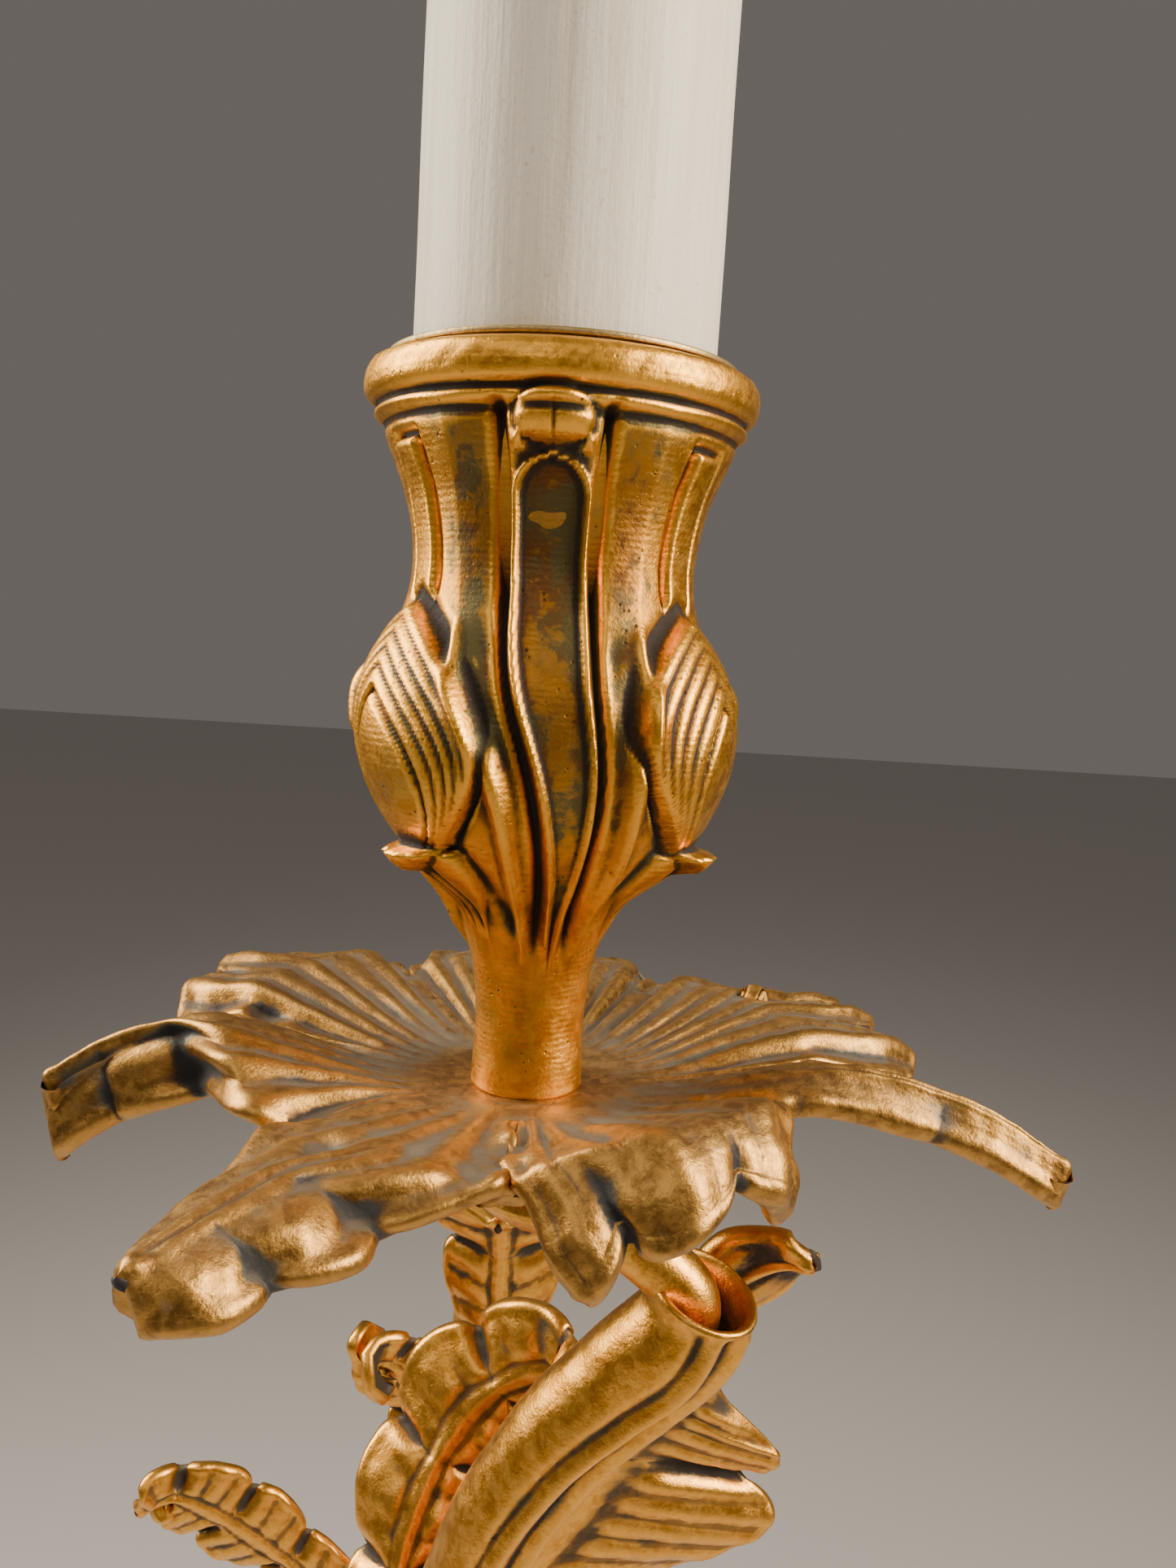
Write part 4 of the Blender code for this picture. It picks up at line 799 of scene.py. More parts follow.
liner_brass = metal("liner_brass_old", (0.52, 0.38, 0.16), (0.07, 0.05, 0.03), 0.42, 0.9)
LINER_FLOOR, LINER_TOP = 36.0, 58.8
liner_profile = [(0.02, LINER_FLOOR), (8.1, LINER_FLOOR), (12.35, 58.4), (12.9, LINER_TOP), (13.9, LINER_TOP),
                 (13.9, 58.3), (12.95, 58.3), (8.6, LINER_FLOOR - 0.5), (0.02, LINER_FLOOR - 0.5)]
add_piece("liner_cup", turned_mesh("liner_cup", rounded_profile(liner_profile, 0.22), 128, wobble=0.03),
          liner_brass, "liner", "liner_brass", "liner")


# ---------------------------------------------------------------- candle and wick
# An ivory household candle, new, with the faint upright streaks that its mould leaves. Its tapered end
# stands on the liner's floor. The wick is three twisted strands of bleached cotton.

CANDLE_RADIUS, CANDLE_FOOT, CANDLE_TOP, WICK_HOLE_DEPTH = 12.0, 36.3, 206.3, 6.0
hole_floor = CANDLE_TOP - WICK_HOLE_DEPTH
candle_profile = [(0.02, hole_floor), (1.2, hole_floor), (1.2, 205.9), (5.4, 206.0), (9.84, 205.2),
                  (11.52, 203.9), (CANDLE_RADIUS, 201.5)]
candle_profile += [(CANDLE_RADIUS, z) for z in np.linspace(200.5, 61.5, 90)]
candle_profile += [(CANDLE_RADIUS, 59.6), (7.8, 36.8), (7.3, CANDLE_FOOT), (0.02, CANDLE_FOOT)]
candle_mesh = turned_mesh("candle", rounded_profile(candle_profile, 0.5, 2), 192, wobble=0.02)
wax = Shader("ivory_wax")
here = wax.place((1, 1, 0.045))
streak = wax.noise(here, 0.85, 4.0, 0.6)
smear = wax.noise(wax.place(), 0.06, 3.0, 0.5)
speck = wax.noise(wax.place(), 1.6, 2.0, 0.5).step(0.66, 0.74)
tone = wax.blend(streak.step(0.3, 0.7), (0.80, 0.72, 0.58), (0.90, 0.84, 0.72))
tone = wax.blend(smear.step(0.5, 0.8) * 0.5, tone, (0.78, 0.66, 0.47))
tone = wax.blend(speck * 0.35, tone, (0.50, 0.40, 0.28))
wax.put("Base Color", tone)
wax.put("Roughness", (streak * 0.15 + smear * 0.12 + 0.40).held())
wax.put("Normal", wax.dent(streak * 0.8 + wax.noise(wax.place(), 2.4, 3.0) * 0.25, 0.5, 0.0003))
wax.put("Subsurface Weight", 0.25)
wax.put("Subsurface Radius", (0.006, 0.004, 0.002))
wax.put("Subsurface Scale", 0.4)
add_piece("candle_wax", candle_mesh, wax.material, "candle", "wax", "candle")


class Plan:
    """A Geometry Nodes tree with named inputs, run once on a mesh and then made plain."""

    def __init__(self, name):
        self.tree = bpy.data.node_groups.new(name, "GeometryNodeTree")
        self.tree.interface.new_socket("Geometry", in_out="INPUT", socket_type="NodeSocketGeometry")
        self.tree.interface.new_socket("Geometry", in_out="OUTPUT", socket_type="NodeSocketGeometry")
        self.inputs = self.tree.nodes.new("NodeGroupInput")
        self.outputs = self.tree.nodes.new("NodeGroupOutput")

    def takes(self, name, kind, value=None):
        made = self.tree.interface.new_socket(name, in_out="INPUT", socket_type=kind)
        if value is not None:
            made.default_value = value
        return self.inputs.outputs[name]

    def add(self, kind, settings=None, sockets=None, output=0):
        node = self.tree.nodes.new(kind)
        for key, value in (settings or {}).items():
            setattr(node, key, value)
        for key, value in (sockets or {}).items():
            if isinstance(value, bpy.types.NodeSocket):
                self.tree.links.new(value, node.inputs[key])
            else:
                node.inputs[key].default_value = value
        return node.outputs[output]

    def run(self, start, finish, result, name):
        """The mesh that the plan makes from a start mesh, with its instances made real."""
        real = self.add("GeometryNodeRealizeInstances", None, {0: result})
        painted = self.add("GeometryNodeSetMaterial", None, {0: real, "Material": finish})
        self.tree.links.new(painted, self.outputs.inputs[0])
        holder = bpy.data.objects.new(name + "_start", start)
        bpy.context.scene.collection.objects.link(holder)
        plan = holder.modifiers.new("plan", "NODES")
        plan.node_group = self.tree
        bpy.context.view_layer.update()
        graph = bpy.context.evaluated_depsgraph_get()
        made = bpy.data.meshes.new_from_object(holder.evaluated_get(graph), depsgraph=graph)
        made.name = name
        bpy.data.objects.remove(holder)
        made.shade_smooth()
        return made


cotton = Shader("wick_cotton")
fibre = cotton.noise(cotton.place((1, 1, 0.3)), 6.0, 3.0, 0.6)
cotton.put("Base Color", cotton.blend(fibre.step(0.3, 0.7), (0.62, 0.58, 0.48), (0.86, 0.83, 0.75)))
cotton.put("Roughness", (fibre * 0.2 + 0.72).held())
cotton.put("Normal", cotton.dent(fibre, 0.6, 0.0001))
WICK_STRANDS, WICK_TURNS, WICK_LENGTH = 3, 5.0, 16.7
twist = Plan("wick_twist")
strands = twist.takes("Strands", "NodeSocketInt", WICK_STRANDS)
strand_size = twist.takes("Strand radius", "NodeSocketFloat", 0.43 * MM)
helix = twist.add("GeometryNodeCurveSpiral", None, {
    "Resolution": 28, "Rotations": WICK_TURNS, "Start Radius": 0.42 * MM, "End Radius": 0.40 * MM,
    "Height": WICK_LENGTH * MM})
ring = twist.add("GeometryNodeCurvePrimitiveCircle", None, {"Resolution": 10, "Radius": strand_size})
strand = twist.add("GeometryNodeCurveToMesh", None, {
    "Curve": helix, "Profile Curve": ring, "Fill Caps": True})
posts = twist.add("GeometryNodePoints", None, {"Count": strands})
number = twist.add("GeometryNodeInputIndex")
turn = twist.add("ShaderNodeMath", {"operation": "MULTIPLY"}, {0: number, 1: 2 * math.pi / WICK_STRANDS})
spin = twist.add("ShaderNodeCombineXYZ", None, {"Z": turn})
laid = twist.add("GeometryNodeInstanceOnPoints", None, {
    "Points": posts, "Instance": strand, "Rotation": spin})
placed = twist.add("GeometryNodeTransform", None, {
    "Geometry": twist.add("GeometryNodeRealizeInstances", None, {0: laid}),
    "Translation": nozzle_foot + Vector((0, 0, 0.2006))})
wick_mesh = twist.run(bpy.data.meshes.new("wick_start"), cotton.material, placed, "wick")
add_piece("wick_twisted", wick_mesh, cotton.material, "candle", "cotton", "wick")


# ---------------------------------------------------------------- seat, stud and neck screw
# The oval moulding under the pan is cast and turned bronze, gilt like the branch. The nozzle's iron stud
# screws down through the pan into it, and an iron screw with a sunk head holds it to the branch's neck.

branch_gilding = gilding("branch_gilding", (0.92, 0.46, 0.08), (0.62, 0.27, 0.03), (0.20, 0.085, 0.022),
                         (0.028, 0.016, 0.009), (0.17, 0.12, 0.05), wear=0.55, pits=0.2, dust=0.2, crease=0.6,
                         matt_base=0.26)
stand = nozzle_foot - Vector((0, 0, 0.0003))
SEAT_PLACE, SEAT_HALF_LENGTH, SEAT_HALF_WIDTH, SEAT_TOP, SEAT_HEIGHT = 5.0, 9.8, 8.6, -2.4, 8.5
SEAT_PROFILE = ((0.0, 0.02), (0.0, 0.78), (0.25, 0.85), (0.7, 0.875), (1.2, 0.87), (1.7, 0.845), (2.4, 0.80),
                (3.4, 0.785), (4.2, 0.80), (4.7, 0.85), (5.0, 0.93), (5.3, 0.985), (5.8, 1.0), (6.4, 0.985),
                (6.9, 0.94), (7.5, 0.88), (8.1, 0.78), (8.5, 0.66), (8.5, 0.02))
drops = np.array([p[0] for p in SEAT_PROFILE])
shares = np.array([p[1] for p in SEAT_PROFILE])
fine = np.linspace(0, len(drops) - 1, 110)
drops, shares = np.interp(fine, np.arange(len(drops)), drops), np.interp(fine, np.arange(len(shares)), shares)
around = np.arange(144) * 2 * math.pi / 144
ring_x = SEAT_PLACE + SEAT_HALF_LENGTH * shares[:, None] * np.cos(around)
ring_y = SEAT_HALF_WIDTH * shares[:, None] * np.sin(around)
ring_z = SEAT_TOP - drops[:, None] + 0 * ring_x
seat_points = np.stack([ring_x, ring_y, ring_z], axis=-1).reshape(-1, 3)
seat_points += 0.05 * unevenness(*seat_points.T, 7.0)[:, None] * np.array([1, 1, 0])
seat_faces = [face[::-1] for face in wrapped_faces(110, 144)]
seat_faces += [list(range(144)), list(range(110 * 144 - 1, 109 * 144 - 1, -1))]
seat_mesh = mesh_of("seat", seat_points * MM + np.array(stand), seat_faces)
keep_relief(seat_mesh, near_mm=0.05, far_mm=0.35)
add_piece("seat_moulding", seat_mesh, branch_gilding, "branch", "gilt_dull", "pan_seat")

old_iron = metal("old_iron", (0.33, 0.30, 0.27), (0.12, 0.06, 0.03), 0.42, 0.8)


def threaded_rod(radius, pitch, top, bottom, columns=48):
    """A screw's shank: a helical thread on a rod about the candle's axis, in millimetres."""
    heights = np.arange(top, bottom, -pitch / 10)
    angles = np.arange(columns) * 2 * math.pi / columns
    z, a = np.meshgrid(heights, angles, indexing="ij")
    wave = np.abs(((z / pitch - a / (2 * math.pi)) % 1.0) * 2 - 1)
    ends = np.clip(np.minimum(top - z, z - bottom) / 0.8, 0, 1)
    r = radius - 0.30 * pitch * (1 - wave) - 0.5 * (1 - ends)
    points = np.stack([r * np.cos(a), r * np.sin(a), z], axis=-1) * MM
    faces = [face[::-1] for face in wrapped_faces(len(heights), columns)]
    last = (len(heights) - 1) * columns
    faces += [list(range(columns)), list(range(last + columns - 1, last - 1, -1))]
    return points.reshape(-1, 3), faces


points, faces = threaded_rod(2.5, 1.0, 8.0, -9.2)
stud_mesh = mesh_of("stud", points + np.array(nozzle_foot), faces)
add_piece("stud_threaded", stud_mesh, old_iron, "nozzle_stud", "iron", "nozzle_stud")
for name in ("neck_screw", "branch_washer"):
    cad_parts[name].data.materials.clear()
    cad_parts[name].data.materials.append(old_iron)


# ---------------------------------------------------------------- branch
# A cast bronze bar about 10 mm thick, curved down and out from the boss and up under the pan. Two beads and
# a groove run along its outer face. It ends in a cupped mouth, and a thin neck rises from that into the seat.

GAP = 0.3
BOSS_FACE, BOSS_HEIGHT_Z, FLANGE_THICK, FLANGE_RADIUS = 13.3, 12.0, 3.0, 9.8
BRANCH_RADIUS, NECK_RADIUS, NECK_PLACE, NECK_IN_SEAT = 4.8, 2.7, 9.1, 3.0
BRANCH_LINE = (
    (-6, 80, -150), (-6, 66, -163), (-6.5, 46, -168), (-7, 29, -155), (-8, 17, -128), (-8, 12, -96),
    (-6.5, 9, -70), (-2, 7, -50), (4, 5, -37), (10.7, 3, -28), (15.0, 1, -22.2), (16.6, 0, -18.0))
BRANCH_GIRTHS = ((0.0, 0.95), (0.1, 0.9), (0.3, 1.05), (0.5, 0.88), (0.7, 0.95), (0.87, 1.05), (1.0, 0.95))
BRANCH_TWIST = ((0.0, -18), (0.6, -8), (1.0, 4))
stand_mm = np.array(stand) / MM


def curve(points, t):
    """Points at t, from 0 to 1, on a smooth curve through the points."""
    points = np.asarray(points, float)
    last = len(points) - 1
    padded = np.concatenate([[2 * points[0] - points[1]], points, [2 * points[-1] - points[-2]]])
    at = np.clip(np.asarray(t, float), 0, 1) * last
    i = np.minimum(at.astype(int), last - 1)
    k = (at - i)[..., None]
    a, b, c, d = padded[i], padded[i + 1], padded[i + 2], padded[i + 3]
    squared = (2 * a - 5 * b + 4 * c - d) * k ** 2
    return 0.5 * (2 * b + (c - a) * k + squared + (3 * b - a - 3 * c + d) * k ** 3)


def unit(v):
    return v / np.maximum(np.linalg.norm(v, axis=-1, keepdims=True), 1e-12)


def bar_rings(places, ways, twists, radii, relief, around):
    """Rings of the branch: a rounded bar with two beads and a groove between them along its outer face."""
    side = np.array([1, 0.15, 0])
    across = unit(side - ways * (ways @ side)[:, None])
    up = unit(np.cross(ways, across))
    turn = np.radians(twists)[:, None]
    across, up = across * np.cos(turn) + up * np.sin(turn), up * np.cos(turn) - across * np.sin(turn)
    off = (np.degrees(around) + 67.5 + 180) % 360 - 180
    bead = 0.15 * bump(off, 21, 8) + 0.12 * bump(off, -21, 8) - 0.15 * bump(off, 0, 8)
    bead = bead - 0.06 * bump(off, 39, 6) - 0.06 * bump(off, -39, 6) + 0.05 * bump(off, 110, 34)
    bead = bead + 0.05 * bump(off, -120, 30) - 0.05 * bump(np.abs(off), 160, 8)
    r = radii[:, None] * (1 + bead * relief[:, None])
    return places[:, None] + across[:, None] * (r * np.cos(around))[..., None] + up[:, None] * (
        r * np.sin(around))[..., None]


boss = np.array([0, -BOSS_FACE, BOSS_HEIGHT_Z])
branch_line = np.concatenate([[boss - [0, FLANGE_THICK, 0]], np.array(BRANCH_LINE) + stand_mm])
around = np.arange(112) * 2 * math.pi / 112
out = np.array([[0.0, -1.0, 0.0]])
flange_out = np.array([0.0, 0.05, 0.3, 0.8, 1.5, 2.2, 2.6, 2.9, 3.0])
flange_round = np.array([0.80, 0.94, 0.985, 1.0, 0.97, 1.0, 0.985, 0.94, 0.80])
places = boss + out * flange_out[:, None]
rings = [bar_rings(
    places, np.repeat(out, 9, 0), np.full(9, -40.0), FLANGE_RADIUS * flange_round, np.zeros(9), around)]
t = np.linspace(0, 1, 420)
places = curve(branch_line, t)
ways = unit(curve(branch_line, t + 0.005) - curve(branch_line, t - 0.005))
girth = smooth_stops(BRANCH_GIRTHS, t)
girth = girth + 0.45 * bump(t, 0.0, 0.012) + 0.10 * bump(t, 1.0, 0.02)
twists = smooth_stops(BRANCH_TWIST, t)
beaded = np.clip(8 * t, 0, 1) * step(1.0, 0.97, t)
rings.append(bar_rings(places, ways, twists, BRANCH_RADIUS * girth, beaded, around))
mouth, way = places[-1], ways[-1]
back = np.array([-0.25, -0.30, -0.1, 0.4, 1.2, 2.2, 3.0, 3.6, 4.0, 4.2])
width = np.array([4.9, 4.65, 4.35, 4.1, 3.9, 3.75, 3.6, 3.4, 3.15, 2.95])
rings.append(bar_rings(
    mouth - way * back[:, None], np.repeat([way], 10, 0), np.full(10, 20.0), width, np.zeros(10), around))
neck_top = stand_mm + [NECK_PLACE, 0, SEAT_TOP - SEAT_HEIGHT + NECK_IN_SEAT - GAP]
neck_foot = neck_top - [0, 0, NECK_IN_SEAT + 0.4]
start = mouth - way * 4.2
handle, rise = start + way * 6, neck_foot - [0, 0, 3.5]
t = np.linspace(0.04, 1, 26)[:, None]
places = start * (1 - t) ** 3 + handle * 3 * t * (1 - t) ** 2
places = places + rise * 3 * t * t * (1 - t) + neck_foot * t ** 3
ways = unit((handle - start) * (1 - t) ** 2 + (rise - handle) * 2 * t * (1 - t) + (neck_foot - rise) * t * t)
rings.append(bar_rings(places, ways, np.full(26, 20.0), np.full(26, NECK_RADIUS), np.zeros(26), around))
rings.append(bar_rings(neck_top[None], np.array([[0, 0, 1.0]]), np.array([20.0]), np.array([NECK_RADIUS]),
                       np.zeros(1), around))
rings = np.concatenate(rings)
points = rings.reshape(-1, 3)
bare = np.repeat(np.arange(len(rings)) > 9, 112)
shift = (0.10 * unevenness(*points.T, 16.0, 3.0) + 0.04 * unevenness(*points.T, 4.5, 1.0)) * bare
centres = np.repeat(rings.mean(axis=1), 112, axis=0)
outwards = points - centres
shift = shift * step(2.0, 4.5, np.linalg.norm(outwards, axis=1))
points = points + unit(outwards) * shift[:, None]
faces = wrapped_faces(len(rings), 112)
last = (len(rings) - 1) * 112
faces += [list(range(111, -1, -1)), list(range(last, last + 112))]
branch_mesh = mesh_of("branch", points * MM, faces)
keep_relief(branch_mesh, near_mm=0.05, far_mm=0.35)
add_piece("branch_bar", branch_mesh, branch_gilding, "branch", "gilt_dull", "branch")


# ---------------------------------------------------------------- leaves on the branch
# Acanthus leaves cast one by one and held on the bar by headed pins; the curled one stands a little off it.
# Their edges are cut into lobes, flutes run out along each lobe from a round midrib, and the tips curl over.

LEAF_WIDTHS = ((0.0, 0.34), (0.25, 0.72), (0.6, 1.0), (0.85, 0.72), (1.0, 0.16))
LEAF_THICK = 1.8
# Each leaf: midrib, the way across it, half width, lobes, notch, crown, puff, sweep, flutes on each lobe,
# the share of the width on the first side, and how far along it its pin is
BRANCH_LEAVES = {
    "outer_leaf": (((-7, 15.4, -80), (-4, 15.2, -68), (2, 15, -56), (8, 14.5, -46), (13.5, 13.5, -38),
                    (18, 12.5, -33)),
                   (-0.95, -0.2, 0.3), 24.0, 3, 0.30, 0.10, 1.2, 0.5, 5, 0.15, 0.17),
    "curled_leaf": (((-9, 18, -86), (-12, 20, -75), (-11, 24.5, -61), (-5, 28, -49), (4, 26, -42),
                     (9, 21, -45)),
                    (-0.8, 0.2, 0.4), 9.5, 6, 0.30, 0.35, 1.0, 0.35, 2, 1.0, 0.06),
    "lower_leaf": (((-12.5, 9.5, -119), (-15.5, 6, -108), (-21.5, -1.5, -99), (-29, -7, -94.5),
                    (-35.5, -9, -98.5)),
                   (-0.55, -0.25, -0.8), 8.5, 4, 0.30, 0.25, 0.9, 0.5, 3, 1.0, 0.05),
    "mouth_leaf": (((11, 8.5, -32), (14.5, 8.6, -28), (18.2, 8.2, -23.5), (21.5, 7.2, -19.8),
                    (24.5, 5.6, -17.5), (27.2, 3.6, -17)),
                   (-0.76, -0.24, 0.57), 5.2, 1, 0.30, 0.30, 0.4, 0.3, 2, 1.0, 0.14),
}


def acanthus(name, spine, side, half_width, lobes, notch, crown, puff, sweep, flutes=3, first=1.0, bold=0.55,
             rib=0.30):
    """A cast leaf along its midrib, in millimetres."""
    per_lobe = np.linspace(0, 1, 31)[:-1]
    per_lobe = 0.5 * per_lobe + 0.5 * (1 - np.cos(math.pi * per_lobe)) / 2
    ts = np.append((np.arange(lobes)[:, None] + per_lobe).reshape(-1) / lobes, 1.0)
    x = np.linspace(1, -1, 49)
    us = 0.6 * x + 0.4 * np.sin(x * math.pi / 2)
    here = curve(spine, ts)
    way = unit(curve(spine, ts + 0.02) - curve(spine, ts - 0.02))
    side = unit(np.array(side, float))
    across = unit(side - way * (way @ side)[:, None])
    up = unit(np.cross(way, across))
    v = np.mod(ts * lobes, 1.0)
    arc = np.sqrt(np.maximum(np.sin(math.pi * v), 0))
    reach = half_width * smooth_stops(LEAF_WIDTHS, ts) * (1 - notch * (1 - arc))
    u, t = np.meshgrid(us, ts)
    wide = np.abs(u)
    lift = crown * half_width * (0.5 - u * u) + puff * (np.sin(math.pi * (t * lobes % 1.0)) - 0.5) * wide
    ahead = sweep * reach[:, None] * wide * np.minimum(1.0, 4 * t) * (1 - t)
    out = u * reach[:, None] * np.where(u > 0, first, 1.0)
    points = here[:, None] + across[:, None] * out[..., None] + way[:, None] * ahead[..., None]
    points = points + up[:, None] * lift[..., None]
    number = t * lobes
    lobe_v = number - np.floor(number)
    fan = (lobe_v - 0.5) * (1.25 - 0.35 * wide)
    crest = np.abs(np.cos(math.pi * fan * flutes)) ** 1.5
    relief = bold * (crest - 0.5) * step(0.08, 0.40, wide) * (1 - 0.35 * wide)
    to_notch = np.minimum(lobe_v, 1 - lobe_v)
    notched = (number > 0.4) * (number < lobes - 0.3)
    relief -= 0.75 * bump(to_notch, 0.0, 0.10) * step(0.12, 0.5, wide) * notched
    relief += rib * bump(u, 0, 0.09) * step(1.0, 0.8, t)
    relief -= rib * 0.8 * bump(wide, 0.18, 0.07) * step(0.98, 0.85, t)
    points, relief = points.reshape(-1, 3), relief.reshape(-1)
    relief = relief + 0.10 * unevenness(*points.T, 8.0, half_width) + 0.05 * unevenness(*points.T, 2.8, lobes)
    faces = open_faces(len(ts), len(us))
    shell, shell_faces = rounded_sheet(points, faces, relief, LEAF_THICK, 1.0, 0.25)
    mesh = mesh_of(name, shell * MM, shell_faces)
    keep_relief(mesh, near_mm=0.06, far_mm=0.40)
    return mesh


for name, (spine, *shape, _) in BRANCH_LEAVES.items():
    mesh = acanthus(name, np.array(spine, float) + stand_mm, *shape)
    add_piece(name + "_cast", mesh, branch_gilding, "branch", "gilt_dull", name)

PIN_RADIUS, PIN_HEAD_RADIUS, PIN_HEAD, PIN_DEPTH, PIN_PROUD = 0.9, 1.7, 0.9, 3.0, 2.2
pin_feet, pin_ways, pin_lengths = [], [], []
line = curve(branch_line, np.linspace(0, 1, 201))
for spine, _, half_width, _, _, crown, *_, pin_at in BRANCH_LEAVES.values():
    at = curve(np.array(spine, float) + stand_mm, np.array([pin_at]))[0]
    middle = line[np.argmin(np.linalg.norm(line - at, axis=1))]
    way = unit(at - middle)
    foot = middle + way * (BRANCH_RADIUS - PIN_DEPTH)
    pin_feet.append(foot * MM)
    pin_ways.append(way)
    pin_lengths.append(np.linalg.norm(at - foot) + abs(crown) * half_width * 0.5 + PIN_PROUD)


def headed_pins(name, feet, ways, lengths, radius, head_radius, head, finish):
    """Pins with domed heads: each foot, the way it points and its length under the head, in metres."""
    start = bpy.data.meshes.new(name + "_start")
    start.from_pydata([tuple(p) for p in feet], [], [])
    start.attributes.new("way", "FLOAT_VECTOR", "POINT").data.foreach_set("vector", np.ravel(ways))
    start.attributes.new("length", "FLOAT", "POINT").data.foreach_set("value", np.ravel(lengths))
    plan = Plan(name)
    shank_size = plan.takes("Shank radius", "NodeSocketFloat", radius)
    head_size = plan.takes("Head radius", "NodeSocketFloat", head_radius)
    head_height = plan.takes("Head height", "NodeSocketFloat", head)
    way = plan.add("GeometryNodeInputNamedAttribute", {"data_type": "FLOAT_VECTOR"}, {"Name": "way"})
    length = plan.add("GeometryNodeInputNamedAttribute", {"data_type": "FLOAT"}, {"Name": "length"})
    turn = plan.add("FunctionNodeAlignRotationToVector", {"axis": "Z"}, {"Vector": way})
    shank = plan.add("GeometryNodeMeshCylinder", None, {"Vertices": 24, "Radius": shank_size, "Depth": 1.0})
    shank = plan.add("GeometryNodeTransform", None, {"Geometry": shank, "Translation": (0, 0, 0.5)})
    tall = plan.add("ShaderNodeCombineXYZ", None, {"X": 1.0, "Y": 1.0, "Z": length})
    shanks = plan.add("GeometryNodeInstanceOnPoints", None, {
        "Points": plan.inputs.outputs[0], "Instance": shank, "Rotation": turn, "Scale": tall})
    dome = plan.add("GeometryNodeMeshUVSphere", None, {"Segments": 32, "Rings": 16, "Radius": head_size})
    squash = plan.add("ShaderNodeMath", {"operation": "DIVIDE"}, {0: head_height, 1: head_size})
    low = plan.add("ShaderNodeCombineXYZ", None, {"X": 1.0, "Y": 1.0, "Z": squash})
    dome = plan.add("GeometryNodeTransform", None, {"Geometry": dome, "Scale": low})
    offset = plan.add("ShaderNodeVectorMath", {"operation": "SCALE"}, {0: way, "Scale": length})
    raised = plan.add("GeometryNodeSetPosition", None, {"Geometry": plan.inputs.outputs[0], "Offset": offset})
    heads = plan.add("GeometryNodeInstanceOnPoints", None, {
        "Points": raised, "Instance": dome, "Rotation": turn})
    both = plan.add("GeometryNodeJoinGeometry")
    plan.tree.links.new(shanks, both.node.inputs[0])
    plan.tree.links.new(heads, both.node.inputs[0])
    mesh = plan.run(start, finish, both, name)
    keep_relief(mesh)
    return mesh


pins = headed_pins("leaf_pins", pin_feet, pin_ways, np.array(pin_lengths) * MM, PIN_RADIUS * MM,
                   PIN_HEAD_RADIUS * MM, PIN_HEAD * MM, branch_gilding)
add_piece("leaf_pins_headed", pins, branch_gilding, "branch", "gilt_dull",
          *[name + "_pin" for name in BRANCH_LEAVES])


# ---------------------------------------------------------------- wall plate and bolt
# A cast bronze plate with a scrolled outline, a raised border and flutes that fan out from a turned,
# gadrooned boss. The branch is bolted through the boss; the nut and washer sit in a recess in the back. Two
# holes take wall screws.

PLATE_THICK, PLATE_TOP, PLATE_BOTTOM, BOSS_RADIUS, BOSS_TOP = 4.0, 92.0, -105.0, 15.0, 13.0
RECESS_RADIUS, RECESS_DEPTH, BOLT_BORE, WALL_HOLE_RADIUS, WALL_HOLES = 6.2, 6.0, 2.8, 2.2, (40.0, -52.0)
PLATE_HALF_WIDTHS = ((-105, 2.0), (-90, 8.5), (-66, 15.0), (-46, 12.5), (-24, 20.0), (10, 25.0), (34, 17.0),
                     (52, 10.5), (74, 8.5), (92, 2.0))
x = np.linspace(-1, 1, 75)
us = 0.6 * x + 0.4 * np.sin(x * math.pi / 2)
x = np.linspace(-1, 1, 301)
zs = 0.85 * x + 0.15 * np.sin(x * math.pi / 2)
zs = (PLATE_TOP + PLATE_BOTTOM) / 2 + (PLATE_TOP - PLATE_BOTTOM) / 2 * zs
u, z = np.meshgrid(us, zs)
half = smooth_stops(PLATE_HALF_WIDTHS, z)
x = u * half
to_edge = np.minimum(half - np.abs(x), np.minimum(PLATE_TOP - z, z - PLATE_BOTTOM))
rounding = np.sqrt(np.clip(1 - (1 - np.clip(to_edge / 1.5, 0, 1)) ** 2, 0, 1))
turned_from_boss = np.degrees(np.arctan2(x, z - BOSS_HEIGHT_Z))
from_boss = np.hypot(x, z - BOSS_HEIGHT_Z)
flutes = np.abs(np.cos(np.radians(turned_from_boss) * 8)) ** 1.4 - 0.5
face = 0.55 * bump(to_edge, 1.9, 1.0) - 0.45 * bump(to_edge, 4.2, 0.7)
face = face + 0.42 * flutes * step(4.5, 7, to_edge) * step(16, 20, from_boss) * step(78, 55, from_boss)
face = face + 0.10 * unevenness(x, z, 0 * x, 14.0, 5.0) + 0.05 * unevenness(x, z, 0 * x, 4.0, 2.0)
front = np.stack([x, -(1.6 + (PLATE_THICK - 1.6) * rounding + face * rounding), z], axis=-1).reshape(-1, 3)
back = np.stack([x, 0 * x, z], axis=-1).reshape(-1, 3)
faces = open_faces(len(zs), len(us))
count = len(front)
rim = free_edges(faces)
walls = np.stack([rim[:, 1], rim[:, 0], rim[:, 0] + count, rim[:, 1] + count], axis=1)
faces = np.concatenate([faces, faces[:, ::-1] + count, walls]).tolist()
plate_start = mesh_of("plate_start", np.concatenate([front, back]) * MM, faces)
plate = bpy.data.objects.new("plate_start", plate_start)
bpy.context.scene.collection.objects.link(plate)


